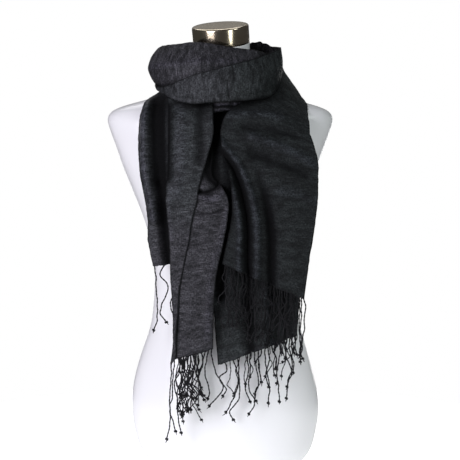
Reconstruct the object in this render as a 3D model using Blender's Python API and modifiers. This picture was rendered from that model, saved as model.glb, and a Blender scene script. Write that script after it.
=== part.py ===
# A wide silk scarf wound once round the neck of a limbless dress form, both fringed ends hanging in front.
# +Z is up and the front faces -Y. The origin is on the floor, under the neck, in the middle of the form's foot.
# Sizes are millimetres. Each stretch of cloth is a wall through a short table of rows.

import math
import random

import bmesh
import bpy
import numpy as np
from mathutils import Vector
from mathutils.bvhtree import BVHTree
from mathutils.geometry import intersect_point_line

MM = 0.001

# Cloth: its wall, the gaps it keeps, the shape of its bows and folds, and how it is eased over what it lies on
CLOTH_THICKNESS = 1.5
LAYER_GAP = 0.45
SEAM_GAP = 0.3
BOW_POWER = 2.4
FOLD_STEPS = 4
REACH = 30.0
EASE_PASSES = 6

# Neck and cap
NECK_AXIS = (-8.0, 0.0)
NECK_TOP = 764.0
LEAN_START = 690.0
CAP_RADIUS = 50.0
CAP_HEIGHT = 32.5
CAP_BEVEL = 2.5
CAP_SEAT = 0.7
TILT_FORWARD = math.radians(9.5)
TILT_SIDEWAYS = math.radians(3.8)

# Fringe: strands with knots near their ends, given as height above the end and width, and the hem band
STRAND_RADIUS = 1.0
STRAND_GAP = 0.4
STRAND_STEPS = 9
STRAND_EASE_PASSES = 4
ROOT_DEPTH = 0.6
KNOT_START = 10.0
KNOT_PLACES = ((7.0, 2.1), (4.0, 1.9))
HEM_STRIP = 4.5
HEM_GAP = 0.45
MERGE = 0.02

# The dress form's sections from the foot to the top of the neck:
# height, half width, depth in front, depth behind, and the x of the middle
TORSO_SECTIONS = (
    (0.0, 118, 66, 78, 7),
    (14.0, 134, 74, 90, 7),
    (38.0, 152, 84, 102, 7),
    (70.0, 162, 90, 110, 6),
    (105.0, 167, 93, 114, 6),
    (140.0, 166, 94, 112, 5),
    (180.0, 158, 93, 105, 4),
    (220.0, 147, 90, 95, 5),
    (262.0, 134, 87, 85, 6),
    (305.0, 126, 84, 78, 4),
    (350.0, 123, 83, 75, 3),
    (395.0, 125, 85, 76, 1),
    (440.0, 133, 93, 80, -1),
    (480.0, 146, 107, 85, -2),
    (515.0, 160, 115, 89, -2),
    (548.0, 172, 113, 92, -3),
    (580.0, 183, 105, 94, -3),
    (608.0, 193, 94, 93, -3),
    (630.0, 199, 83, 90, -3),
    (644.0, 192, 75, 85, -3),
    (653.0, 174, 69, 80, -3),
    (661.0, 147, 65, 75, -3),
    (670.0, 116, 61, 70, -2),
    (681.0, 90, 58, 66, -2),
    (696.0, 70, 55, 61, -1),
    (716.0, 57, 53, 55, -1),
    (740.0, 51, 53, 49, -1),
    (764.0, 50, 54, 46, -1),
)


def around(angle, reach, height):
    """A point at an angle round the neck: 0 is the front, 90 the wearer's left, which is +X."""
    turn = math.radians(angle)
    return (
        NECK_AXIS[0] + reach * math.sin(turn),
        NECK_AXIS[1] - reach * math.cos(turn),
        height,
    )


# Rows of a stretch: one edge, the other edge, and how far the row's middle stands out between them.
# The first winding starts inside the collar on the right, rounds the front, the left side and the back,
# comes over the right shoulder and hangs to the right hem.
FIRST_WINDING = (
    (around(90, 90, 742), around(90, 90, 714), 2),
    (around(72, 91, 744), around(72, 97, 698), 5),
    (around(50, 87, 751), around(50, 104, 680), 9),
    (around(25, 78, 755), around(25, 107, 669), 12),
    (around(0, 73, 761), around(0, 108, 669), 13),
    (around(-25, 78, 765), around(-25, 108, 671), 14),
    (around(-50, 88, 762), around(-50, 107, 677), 14),
    (around(-72, 97, 759), around(-72, 104, 685), 16),
    (around(-92, 101, 755), around(-92, 102, 692), 18),
    (around(-115, 97, 758), around(-115, 101, 698), 16),
    (around(-140, 93, 764), around(-140, 103, 694), 12),
    (around(-165, 90, 769), around(-165, 106, 681), 10),
    (around(-190, 91, 770), around(-190, 111, 672), 10),
    (around(-212, 97, 764), around(-212, 118, 664), 10),
    (around(-232, 106, 752), (98, 76, 660), 7),
    ((96, 44, 740), (128, 52, 662), 4),
    ((98, 13, 723), (142, 12, 664), 3),
    ((92, -25, 702), (146, -28, 651), 5),
    ((76, -58, 681), (148, -58, 638), 5),
    ((44, -83, 667), (150, -80, 624), 6),
    ((12, -101, 648), (151, -94, 608), 8),
    ((-1, -114, 622), (157, -103, 592), 8),
    ((-1, -121, 590), (163.5, -108, 565), 9),
    ((9, -125, 556), (165, -110, 536), 9),
    ((16, -127, 520), (164, -112, 507), 8),
    ((17.5, -127, 486), (162, -113, 476), 8),
    ((14, -126, 452), (157, -114, 440), 8),
    ((7, -125, 421), (149.5, -115, 390), 8),
    ((1.5, -124, 394), (142, -115, 331), 7),
)
COLLAR_END, BACK_END = 9.0, 15.0

# The second winding starts tucked in on the left, crosses the collar's front, rounds the right side,
# passes behind the neck under the first winding, and comes over the left shoulder to the short left hem.
SECOND_WINDING = (
    (around(-74, 112, 693), around(-74, 111, 688), 1),
    (around(-58, 117, 690), around(-58, 115, 681), 2),
    (around(-40, 121, 694), around(-40, 116, 670), 4),
    (around(-22, 121, 708), around(-22, 118, 662), 6),
    (around(-5, 118, 718), around(-5, 119, 664), 8),
    (around(12, 114, 727), around(12, 119, 666), 9),
    (around(30, 110, 735), around(30, 118, 668), 9),
    (around(48, 106, 743), around(48, 116, 672), 8),
    (around(65, 107, 750), around(65, 113, 686), 6),
    (around(82, 110, 756), around(82, 110, 707), 4),
    (around(102, 98, 758), around(102, 100, 722), 2),
    (around(124, 86, 766), around(124, 92, 708), 2),
    (around(145, 80, 769), around(145, 93, 690), 2),
    (around(166, 74, 771), around(166, 92, 682), 2),
    (around(187, 73, 771), around(187, 94, 674), 2),
    (around(208, 74, 758), around(208, 98, 666), 2),
    (around(228, 75, 728), (-94, 66, 665), 2),
    ((-68, 36, 706), (-112, 38, 669), 2),
    ((-73, 4, 698), (-122, 2, 669), 2),
    ((-75, -30, 686), (-130, -31, 662), 3),
    ((-72, -59, 663), (-137, -54, 646), 4),
    ((-68, -84, 631), (-141, -65, 617), 4),
    ((-65, -103, 592), (-141, -76, 576), 3),
    ((-62, -113, 555), (-138, -84, 537), 3),
    ((-60, -116, 512), (-131, -90, 497), 3),
    ((-60, -116, 470), (-126.5, -92, 463), 4),
    ((-60, -116, 430), (-126.5, -93, 426), 5),
    ((-60, -115, 395), (-119, -93, 386), 5),
)
BAND_END, UNDER_END = 10.0, 18.0
BAND_STOP = BAND_END - 0.01

# The narrow inner folds that show under the collar's lower edge
INNER_FOLD = (
    (around(-30, 108, 666), around(-30, 109, 660), 1),
    (around(-20, 108, 666), around(-20, 111, 653), 2),
    (around(-6, 108, 666), around(-6, 112, 648), 3),
    (around(10, 108, 666), around(10, 112, 651), 3),
    (around(26, 108, 667), around(26, 111, 656), 2),
    (around(40, 107, 669), around(40, 109, 663), 1),
)

# The deeper half of the right end, hanging behind the first winding
RIGHT_BACK = (
    ((-30, -80, 652), (96, -66, 640), 2),
    ((-34, -94, 628), (118, -76, 620), 3),
    ((-33, -107, 594), (128, -84, 590), 3),
    ((-31, -115, 556), (133, -89, 554), 3),
    ((-30, -117, 514), (136, -93, 514), 4),
    ((-28, -116, 470), (137, -96, 470), 5),
    ((-26, -113, 428), (137, -97, 430), 6),
    ((-23, -112, 388), (135.5, -98, 394), 6),
    ((-17, -111, 350), (136, -98, 362), 6),
    ((-11, -110, 309), (134.5, -98, 330), 6),
    ((-4, -109, 263), (132.5, -98, 298), 6),
    ((0.5, -108, 215), (130.5, -98, 266), 6),
)

# The inner layer of the left end, puckered where it comes out beside the right end
LEFT_INNER = (
    ((-72, -106, 606), (-16, -109, 604), 2),
    ((-74, -113, 572), (-16, -116, 570), 2),
    ((-76, -118, 540), (-16, -121, 540), 2),
    ((-77, -122, 516), (2, -130, 520), 4),
    ((-78, -122, 494), (12.5, -132, 496), 5),
    ((-79, -122, 462), (10, -132, 464), 5),
    ((-79, -122, 428), (4, -131, 430), 5),
    ((-80, -122, 394), (-4.5, -130, 394), 5),
    ((-80, -121, 356), (-11, -128, 357), 5),
    ((-81, -120, 317), (-13.5, -126, 320), 5),
    ((-81, -118, 271), (-14.5, -124, 282), 5),
    ((-81, -116, 227), (-15, -122, 246), 5),
)

# The outer layer of the left end, whose free selvage runs down and across to the left corner
LEFT_FRONT = (
    ((-82, -52, 694), (-14, -76, 694), 4),
    ((-92, -66, 668), (-13.5, -94, 668), 6),
    ((-91.5, -86, 636), (-14, -110, 640), 8),
    ((-91, -100, 600), (-14, -119, 608), 8),
    ((-92, -110, 562), (-24, -126, 570), 7),
    ((-93.5, -117, 528), (-35.5, -129, 532), 5),
    ((-94.5, -120, 496), (-41.5, -129, 496), 4),
    ((-92, -122, 464), (-50, -129, 462), 4),
    ((-88.5, -123, 430), (-55.5, -128, 428), 3),
    ((-87.5, -123, 392), (-63, -127, 393), 2),
    ((-86, -122, 350), (-71.5, -125, 350), 1.5),
    ((-83, -121, 304), (-74.5, -124, 304), 1),
    ((-82, -120, 258), (-78, -122, 260), 0.5),
    ((-88, -119, 216), (-79, -120, 231), 0.5),
)

# Folds: a path of (across, row) places on a stretch, the fold's half width, and its height, or depth below 0
FIRST_FOLDS = (
    (((0.0, 21.8), (0.12, 22.8), (0.2, 24.0), (0.29, 25.5), (0.38, 27.2), (0.41, 28.0)), 6, 8),
    (((0.0, 22.3), (0.08, 23.1), (0.14, 24.6), (0.24, 26.5), (0.32, 28.0)), 6.5, -10),
    (((0.0, 23.8), (0.04, 24.6), (0.09, 25.6), (0.14, 26.6), (0.2, 28.0)), 4.5, 7),
    (((0.33, 23.3), (0.4, 24.8), (0.51, 26.2), (0.6, 27.9)), 8, -11),
    (((0.3, 21.6), (0.6, 22.0), (0.9, 22.7)), 9, 4),
    (((0.2, 20.2), (0.5, 20.0), (0.8, 20.1)), 10, 3),
    (((0.45, 23.5), (0.75, 23.4), (1.0, 23.8)), 10, -3),
    (((0.3, 1.5), (0.35, 4.0), (0.45, 6.0), (0.55, 8.0)), 8, 2),
    (((0.2, 9.5), (0.25, 11.5), (0.3, 13.5), (0.35, 15.5)), 7, -4),
    (((0.5, 9.0), (0.5, 11.0), (0.52, 13.0), (0.55, 15.0), (0.5, 17.0)), 8, 4),
    (((0.75, 10.0), (0.75, 12.0), (0.75, 14.0), (0.7, 16.0), (0.6, 18.0)), 7, -4),
)
SECOND_FOLDS = (
    (((0.86, 19.3), (0.86, 20.5), (0.85, 21.5), (0.84, 23.0), (0.8, 25.0)), 9, 11),
    (((0.54, 19.0), (0.54, 20.2), (0.54, 21.5), (0.57, 23.2)), 13, -16),
    (((0.58, 23.5), (0.56, 25.0), (0.5, 27.0)), 10, -11),
    (((0.3, 11.0), (0.32, 13.0), (0.35, 15.0), (0.3, 17.5)), 7, -3),
    (((0.65, 11.0), (0.65, 13.0), (0.65, 15.0), (0.6, 17.5)), 8, 3),
    (((0.0, 9.4), (0.3, 10.2)), 6, 3),
)
BACK_HALF_FOLDS = (
    (((0.12, 3.0), (0.12, 6.0), (0.1, 8.0)), 6, -5),
    (((0.35, 4.0), (0.4, 7.0), (0.42, 11.0)), 9, -5),
    (((0.6, 5.0), (0.62, 8.0), (0.66, 11.0)), 8, 4),
    (((0.8, 6.0), (0.82, 9.0), (0.86, 11.0)), 7, -4),
)
LEFT_INNER_FOLDS = (
    (((0.3, 3.1), (0.6, 3.35), (0.8, 3.1), (1.0, 2.6)), 4, -6),
    (((0.6, 3.75), (0.75, 3.8), (1.0, 3.3)), 6, 4),
    (((0.43, 4.6), (0.7, 4.62), (0.9, 4.4)), 2.6, -3),
    (((0.45, 3.62), (0.62, 3.65)), 5, 3),
    (((0.97, 4.6), (0.9, 7.0), (0.86, 10.5)), 7, 3),
)
LEFT_FRONT_FOLDS = (
    (((0.0, 1.4), (0.0, 3.0), (0.0, 4.8)), 8, -6),
    (((0.3, 1.5), (0.32, 3.5), (0.35, 5.5)), 14, 3),
    (((0.75, 1.0), (0.72, 2.5), (0.8, 4.0)), 9, -4),
    (((0.1, 5.0), (0.12, 8.0)), 6, 2),
)

# Strands whose curl shows: place along the hem, drop, and the sideways sway at each sixth of the drop.
# LOOSE strands fill in between: count, first and last place, shortest and longest drop, curl, and seed.
STRANDS = {
    "right_back": (
        (0.08, 84, 5, -9, -2, -7, -20, -30),
        (0.185, 99, 6, 10, 8, 2, -6, -15),
        (0.265, 116, -1, 0, 1, -2, -17, -5),
        (0.41, 92, -1, 0, -2, -3, 3, 15),
        (0.46, 116, 1, 5, 7, 1, -1, -14),
        (0.505, 63, 0, 1, 2, 3, 5, 7),
        (0.545, 30, 0, -1, -4, -8, -12, -16),
        (0.59, 104, 0, 2, 5, 8, 7, 4),
        (0.67, 60, 2, 7, 9, 6, 4, 18),
        (0.775, 111, 1, -2, -5, -2, -1, 1),
        (0.84, 90, 1, 3, 9, 13, 7, 2),
        (0.907, 113, -1, 3, 4, -3, -4, -7),
        (0.98, 38, 0, -1, -1, -2, -3, -5),
    ),
    "left_outer": (
        (0.3, 105, 0, 2, -3, -2, 2, 0),
        (0.49, 98, 1, 3, 4, -1, 0, 12),
        (0.635, 107, -10, 4, 1, -7, -8, 8),
        (0.965, 119, 3, 3, 5, 5, 4, -4),
    ),
    "left_inner": (
        (0.09, 137, 3, -7, -2, -1, 1, 6),
        (0.61, 36, 1, 2, 1, 0, 1, 1),
        (0.7, 89, 3, 0, -5, -2, 1, 7),
        (0.8, 84, -3, -7, -12, -10, -6, 0),
        (0.89, 92, -3, -6, -6, -1, 1, -4),
        (0.965, 90, 0, 4, 8, 18, 25, 13),
    ),
    "left_front": (
        (0.15, 138, 0, -2, -3, -2, -4, -10),
        (0.8, 133, -2, -4, -4, -9, -3, 2),
    ),
    "right_front": (
        (0.94, 119, 1, 0, 0, 2, 1, 3),
        (0.965, 112, 0, 0, -2, 1, -1, 4),
        (0.99, 105, 4, 1, 2, -2, -2, -8),
    ),
}
LOOSE_STRANDS = {
    "right_back": (10, 0.05, 0.96, 50, 96, 8, 3),
    "left_inner": (10, 0.13, 0.57, 74, 108, 11, 5),
    "right_front": (18, 0.03, 0.9, 84, 118, 7, 8),
}

# Places in a grid cell, across and along, where the cloth's rest on what is under it is measured
CELL_SAMPLES = tuple((a / 3, b / 3) for a in range(4) for b in range(4))

# Materials: colour, roughness, metallic
SILK = ("silk", (0.028, 0.027, 0.030), 0.48, 0.0)
FORM_PLASTIC = ("form_plastic", (0.83, 0.83, 0.85), 0.3, 0.0)
CHROME = ("chrome", (0.62, 0.58, 0.54), 0.06, 1.0)


def clear_scene():
    for obj in list(bpy.data.objects):
        bpy.data.objects.remove(obj)


def make_material(name, colour, roughness, metallic):
    found = bpy.data.materials.get(name)
    if found:
        return found
    material = bpy.data.materials.new(name)
    material.use_nodes = True
    shader = material.node_tree.nodes["Principled BSDF"]
    shader.inputs["Base Color"].default_value = (*colour, 1.0)
    shader.inputs["Roughness"].default_value = roughness
    shader.inputs["Metallic"].default_value = metallic
    return material


def new_object(name, mesh, collection, material):
    obj = bpy.data.objects.new(name, mesh)
    collection.objects.link(obj)
    mesh.materials.append(make_material(*material))
    return obj


def smooth_row(rows, place):
    """The values between a table's rows, on a smooth curve through them."""
    last = len(rows) - 1
    place = min(max(place, 0.0), float(last))
    i = min(int(place), last - 1)
    t = place - i
    before, start, end, after = (rows[min(max(k, 0), last)] for k in (i - 1, i, i + 1, i + 2))
    values = []
    for p0, p1, p2, p3 in zip(before, start, end, after):
        bend = (2 * p0 - 5 * p1 + 4 * p2 - p3) * t * t + (3 * p1 - p0 - 3 * p2 + p3) * t ** 3
        values.append(p1 + 0.5 * ((p2 - p0) * t + bend))
    return values


class Stretch:
    """A stretch of cloth: a smooth surface through its rows, with folds raised on it.

    outward is 1 where the rows run from left to right down the stretch, seen from outside, or else -1.
    """

    def __init__(self, rows, folds=(), outward=1):
        self.rows = [(*first, *second, bow) for first, second, bow in rows]
        self.outward = outward
        self.folds = [
            (self.fold_line(path), half_width, height) for path, half_width, height in folds
        ]

    def fold_line(self, path):
        line = []
        for (u0, v0), (u1, v1) in zip(path, path[1:]):
            for step in range(FOLD_STEPS):
                share = step / FOLD_STEPS
                line.append(self.base(u0 + (u1 - u0) * share, v0 + (v1 - v0) * share)[0])
        line.append(self.base(*path[-1])[0])
        return line

    def base(self, across, along):
        """The point and the outward direction of the plain surface."""
        row = smooth_row(self.rows, along)
        first, second, bow = Vector(row[:3]), Vector(row[3:6]), row[6]
        step = 0.05
        ahead = smooth_row(self.rows, along + step)
        behind = smooth_row(self.rows, along - step)
        down = Vector(ahead[:3]) + Vector(ahead[3:6]) - Vector(behind[:3]) - Vector(behind[3:6])
        out = down.cross(second - first).normalized() * self.outward
        arch = 1 - abs(2 * across - 1) ** BOW_POWER
        return first.lerp(second, across) + out * bow * arch, out

    def point(self, across, along):
        """The point and the outward direction of the folded surface."""
        place, out = self.base(across, along)
        rise = 0.0
        for line, half_width, height in self.folds:
            near = min(distance_to_segment(place, a, b) for a, b in zip(line, line[1:]))
            rise += height * math.exp(-((near / half_width) ** 2))
        return place + out * rise, out


def distance_to_segment(point, start, end):
    nearest, share = intersect_point_line(point, start, end)
    if share <= 0:
        nearest = start
    elif share >= 1:
        nearest = end
    return (point - nearest).length


def solid_tree(objects):
    """A search tree, in millimetres, over the finished faces of these objects."""
    bpy.context.view_layer.update()
    graph = bpy.context.evaluated_depsgraph_get()
    corners, faces = [], []
    for obj in objects:
        evaluated = obj.evaluated_get(graph)
        mesh = evaluated.to_mesh()
        offset = len(corners)
        corners += [obj.matrix_world @ vertex.co / MM for vertex in mesh.vertices]
        faces += [[offset + index for index in face.vertices] for face in mesh.polygons]
        evaluated.to_mesh_clear()
    return BVHTree.FromPolygons(corners, faces)


def needed_rise(tree, place, out):
    """How far a point has to move out to lie on what is under it."""
    hit = tree.ray_cast(place + out * REACH, -out, REACH + LAYER_GAP)
    if hit[0] is None:
        return 0.0
    return REACH + LAYER_GAP - hit[3]


def laid_over(stretch, places, columns, beneath):
    """A stretch's points, row by row, moved out softly where other solids lie under them."""
    grid = [[stretch.point(i / columns, along) for i in range(columns + 1)] for along in places]
    if not beneath:
        return [[place for place, _ in row] for row in grid]
    tree = solid_tree(beneath)
    last_row = len(grid) - 1
    required = [[0.0] * (columns + 1) for _ in grid]
    for j in range(last_row):
        for i in range(columns):
            corners = [grid[b][a] for b in (j, j + 1) for a in (i, i + 1)]
            need = max(needed_rise(tree, *inside_cell(corners, *shares)) for shares in CELL_SAMPLES)
            for b in (j, j + 1):
                for a in (i, i + 1):
                    required[b][a] = max(required[b][a], need)
    rise = [list(row) for row in required]
    for _ in range(EASE_PASSES):
        rise = [
            [max(required[j][i], neighbour_mean(rise, j, i)) for i in range(columns + 1)]
            for j in range(last_row + 1)
        ]
    return [
        [grid[j][i][0] + grid[j][i][1] * rise[j][i] for i in range(columns + 1)]
        for j in range(last_row + 1)
    ]


def inside_cell(corners, across, along):
    """A point of a grid cell, on the flat between its four corners, with its outward direction."""
    place, out = (
        corners[0][k].lerp(corners[1][k], across).lerp(corners[2][k].lerp(corners[3][k], across), along)
        for k in (0, 1)
    )
    return place, out.normalized()


def neighbour_mean(values, j, i):
    found = [
        values[b][a]
        for b, a in ((j - 1, i), (j + 1, i), (j, i - 1), (j, i + 1))
        if 0 <= b < len(values) and 0 <= a < len(values[0])
    ]
    return sum(found) / len(found)


def cloth_length(stretch, nodes, columns, collection, beneath=()):
    """A length of cloth as one or more nodes, laid over other solids and cut with a seam gap between nodes.

    Each node is its name, the first and last place along the stretch, its rows, and its share of the columns.
    """
    places = []
    for _, start, end, rows, _ in nodes:
        places += [start + (end - start) * j / rows for j in range(rows)]
    places.append(nodes[-1][2])
    points = laid_over(stretch, places, columns, beneath)
    walls = []
    first_row = 0
    for number, (name, _, _, rows, skip) in enumerate(nodes):
        part = [row[::skip] for row in points[first_row:first_row + rows + 1]]
        if number > 0:
            part[0] = [a + (b - a).normalized() * SEAM_GAP / 2 for a, b in zip(part[0], part[1])]
        if number < len(nodes) - 1:
            part[-1] = [a + (b - a).normalized() * SEAM_GAP / 2 for a, b in zip(part[-1], part[-2])]
        walls.append(cloth_wall(name, part, stretch.outward, collection))
        first_row += rows
    return walls


def cloth_wall(name, points, outward, collection):
    """One node of cloth: a grid set to rows of points and thickened outwards."""
    rows, columns = len(points) - 1, len(points[0]) - 1
    bm = bmesh.new()
    bmesh.ops.create_grid(bm, x_segments=columns, y_segments=rows, size=1.0)
    for vertex in bm.verts:
        i = round((vertex.co.x + 1) / 2 * columns)
        j = round((vertex.co.y + 1) / 2 * rows)
        vertex.co = points[j][i] * MM
    if outward > 0:
        bmesh.ops.reverse_faces(bm, faces=bm.faces)
    mesh = bpy.data.meshes.new(name)
    bm.to_mesh(mesh)
    bm.free()
    mesh.shade_smooth()
    obj = new_object(name, mesh, collection, SILK)
    obj["columns"] = columns
    wall = obj.modifiers.new("Wall", "SOLIDIFY")
    wall.thickness = CLOTH_THICKNESS * MM
    wall.offset = 1.0
    return obj


def make_torso(collection):
    """The form's body: a ball whose rings are set to the sections, with a flat foot and neck top."""
    segments, rings = 36, 30
    bm = bmesh.new()
    bmesh.ops.create_uvsphere(bm, u_segments=segments, v_segments=rings, radius=1.0)
    for vertex in bm.verts:
        ring = round(math.acos(max(-1.0, min(1.0, vertex.co.z))) / math.pi * rings)
        pole = ring in (0, rings)
        ring = min(max(ring, 1), rings - 1)
        share = (rings - 1 - ring) / (rings - 2)
        height, half_width, front, back, centre_x = smooth_row(
            TORSO_SECTIONS, share * (len(TORSO_SECTIONS) - 1)
        )
        turn = math.atan2(vertex.co.y, vertex.co.x)
        depth = back if vertex.co.y > 0 else front
        x = 0.0 if pole else half_width * math.cos(turn)
        y = 0.0 if pole else depth * math.sin(turn)
        neck_share = max(0.0, min(1.0, (height - LEAN_START) / (NECK_TOP - LEAN_START)))
        lean = neck_share * (y * math.tan(TILT_FORWARD) + x * math.tan(TILT_SIDEWAYS))
        vertex.co = Vector((x + centre_x, y, height + lean)) * MM
    mesh = bpy.data.meshes.new("form_torso")
    bm.to_mesh(mesh)
    bm.free()
    mesh.shade_smooth()
    mesh.set_sharp_from_angle(angle=math.radians(50))
    return new_object("form_torso", mesh, collection, FORM_PLASTIC)


def make_neck_cap(collection):
    """The chrome disc that closes the neck, square to the neck's slanted top."""
    bpy.ops.mesh.primitive_cylinder_add(vertices=40, radius=CAP_RADIUS * MM, depth=CAP_HEIGHT * MM)
    cap = bpy.context.object
    cap.name = "neck_cap"
    for linked in list(cap.users_collection):
        linked.objects.unlink(cap)
    collection.objects.link(cap)
    cap.data.materials.append(make_material(*CHROME))
    cap.rotation_euler = (TILT_FORWARD, -TILT_SIDEWAYS, 0.0)
    top = TORSO_SECTIONS[-1]
    seat = Vector((top[4], (top[3] - top[2]) / 2, NECK_TOP - CAP_SEAT))
    rise = (CAP_HEIGHT / 2 + SEAM_GAP) * math.cos(TILT_FORWARD)
    lean = rise * math.tan(TILT_FORWARD)
    cap.location = (seat + Vector((0.0, -lean, rise))) * MM
    cap.data.shade_smooth()
    cap.data.set_sharp_from_angle(angle=math.radians(40))
    bevel = cap.modifiers.new("Rim", "BEVEL")
    bevel.width = CAP_BEVEL * MM
    bevel.segments = 2
    bevel.limit_method = "ANGLE"
    return cap


def loose_strands(count, first, last, shortest, longest, curl, seed):
    """Rows for strands that sway one way and the other as they drop."""
    chance = random.Random(seed)
    rows = []
    for k in range(count):
        place = first + (last - first) * (k + chance.uniform(0.2, 0.8)) / count
        side = chance.choice((-1, 1))
        sways = [side * curl * chance.uniform(-0.3, 1.0) * (-1) ** (n // 2) * (n + 2) / 8 for n in range(6)]
        rows.append((place, chance.uniform(shortest, longest), *sways))
    return rows


def strand_line(root, strand):
    """A strand's centre line with its thickness: down from the hem, ending in a knot and a short tail."""
    drop, sways = strand[1], strand[2:]
    rows = [(0.0, 0.0)] + [(sway, drop * (k + 1) / len(sways)) for k, sway in enumerate(sways)]
    body_end = 1 - KNOT_START / drop
    shares = [(body_end * k / STRAND_STEPS, 1.0) for k in range(STRAND_STEPS + 1)]
    shares += [(1 - height / drop, width) for height, width in KNOT_PLACES] + [(1.0, 1.0)]
    line = []
    for share, thickness in shares:
        sway, fall = smooth_row(rows, share * (len(rows) - 1))
        line.append((root + Vector((sway, 0.0, -fall)), thickness))
    return line


def hung_in_front(line, hung):
    """The strand moved softly forward wherever it crosses strands that hang already.

    hung holds their places and radii, a row for each small step, and gains this strand's.
    """
    needed = [0.0] * len(line)
    for k, steps in enumerate(strand_steps(line)):
        if not len(hung):
            break
        apart = np.hypot(steps[:, None, 0] - hung[None, :, 0], steps[:, None, 2] - hung[None, :, 2])
        clear = steps[:, None, 3] + hung[None, :, 3] + STRAND_GAP
        inside = np.sqrt(np.maximum(clear ** 2 - apart ** 2, 0.0))
        forward = np.where(apart < clear, steps[:, None, 1] - hung[None, :, 1] + inside, 0.0)
        need = max(float(forward.max()), 0.0)
        needed[k] = max(needed[k], need)
        needed[k + 1] = max(needed[k + 1], need)
    needed[0] = 0.0
    ease = list(needed)
    for _ in range(STRAND_EASE_PASSES):
        for k in range(1, len(ease)):
            after = ease[k + 1] if k + 1 < len(ease) else ease[k]
            ease[k] = max(needed[k], (ease[k - 1] + after) / 2)
    moved = [(place - Vector((0.0, rise, 0.0)), thick) for (place, thick), rise in zip(line, ease)]
    return moved, np.vstack([hung, *strand_steps(moved)])


def strand_steps(line):
    """For each length between a strand's points, small steps along it as rows of x, y, z and radius."""
    lengths = []
    for (start, thick_start), (end, thick_end) in zip(line, line[1:]):
        count = max(2, round((end - start).length / 1.5))
        radius = max(thick_start, thick_end) * STRAND_RADIUS
        lengths.append(np.array([(*start.lerp(end, n / count), radius) for n in range(count + 1)]))
    return lengths


def strand_profile():
    """The three-cornered section that every strand is drawn with."""
    found = bpy.data.objects.get("strand_profile")
    if found:
        return found
    curve = bpy.data.curves.new("strand_profile", "CURVE")
    spline = curve.splines.new("POLY")
    spline.points.add(2)
    spline.use_cyclic_u = True
    for k, point in enumerate(spline.points):
        turn = -2 * math.pi * k / 3
        reach = STRAND_RADIUS * MM
        point.co = (reach * math.cos(turn), reach * math.sin(turn), 0.0, 1.0)
    obj = bpy.data.objects.new("strand_profile", curve)
    bpy.data.collections["helpers"].objects.link(obj)
    obj.hide_render = True
    return obj


def strand_mesh(name, line):
    """One strand as a three-sided tube with closed ends."""
    curve = bpy.data.curves.new(name, "CURVE")
    curve.dimensions = "3D"
    curve.bevel_mode = "OBJECT"
    curve.bevel_object = strand_profile()
    curve.use_fill_caps = True
    spline = curve.splines.new("POLY")
    spline.points.add(len(line) - 1)
    for point, (place, radius) in zip(spline.points, line):
        point.co = (*(place * MM), 1.0)
        point.radius = radius
    obj = bpy.data.objects.new(name, curve)
    bpy.context.scene.collection.objects.link(obj)
    bpy.context.view_layer.update()
    graph = bpy.context.evaluated_depsgraph_get()
    mesh = bpy.data.meshes.new_from_object(obj.evaluated_get(graph))
    bpy.data.objects.remove(obj)
    return mesh


def hem_strip(name, edge, collection):
    """The hem band just below a stretch's last row, parted from it by the hem gap."""
    bm = bmesh.new()
    bmesh.ops.create_grid(bm, x_segments=len(edge) - 1, y_segments=1, size=1.0)
    for vertex in bm.verts:
        place, down = edge[round((vertex.co.x + 1) / 2 * (len(edge) - 1))]
        fall = HEM_GAP if vertex.co.y < 0 else HEM_GAP + HEM_STRIP
        vertex.co = (place + down * fall) * MM
    bm.normal_update()
    if sum(face.normal.y for face in bm.faces) > 0:
        bmesh.ops.reverse_faces(bm, faces=bm.faces)
    mesh = bpy.data.meshes.new(name)
    bm.to_mesh(mesh)
    bm.free()
    obj = new_object(name, mesh, collection, SILK)
    wall = obj.modifiers.new("Wall", "SOLIDIFY")
    wall.thickness = CLOTH_THICKNESS * MM
    wall.offset = 1.0
    return obj


def hem_edge(cloth):
    """The last row of a wall's points, each with the way the cloth runs there."""
    width = cloth["columns"] + 1
    points = [vertex.co / MM for vertex in cloth.data.vertices]
    return [(a, (a - b).normalized()) for a, b in zip(points[-width:], points[-2 * width:-width])]


def make_fringe(cloth, collection, helpers, hung):
    """A hem band with its knotted strands fused to it. Returns hung with these strands added."""
    name = f"fringe_{cloth.name}"
    edge = hem_edge(cloth)
    strip = hem_strip(name, edge, collection)
    strands = list(STRANDS[cloth.name])
    width = (edge[-1][0] - edge[0][0]).length
    for row in loose_strands(*LOOSE_STRANDS[cloth.name]) if cloth.name in LOOSE_STRANDS else ():
        if min(abs(row[0] - other[0]) for other in strands) * width > 2 * STRAND_RADIUS + 1.0:
            strands.append(row)
    bm = bmesh.new()
    for strand in strands:
        place = strand[0] * (len(edge) - 1)
        i = min(int(place), len(edge) - 2)
        root = edge[i][0].lerp(edge[i + 1][0], place - i) + edge[i][1] * (HEM_GAP + HEM_STRIP * ROOT_DEPTH)
        line = strand_line(root - Vector((0.0, CLOTH_THICKNESS / 2, 0.0)), strand)
        line, hung = hung_in_front(line, hung)
        mesh = strand_mesh(f"{name}_strand", line)
        bm.from_mesh(mesh)
        bpy.data.meshes.remove(mesh)
    bmesh.ops.remove_doubles(bm, verts=bm.verts, dist=MERGE * MM)
    mesh = bpy.data.meshes.new(f"{name}_strands")
    bm.to_mesh(mesh)
    bm.free()
    helper = bpy.data.objects.new(f"{name}_strands", mesh)
    helpers.objects.link(helper)
    helper.hide_render = True
    helper.display_type = "WIRE"
    join = strip.modifiers.new("Strands", "BOOLEAN")
    join.operation = "UNION"
    join.solver = "EXACT"
    join.object = helper
    return hung


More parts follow.
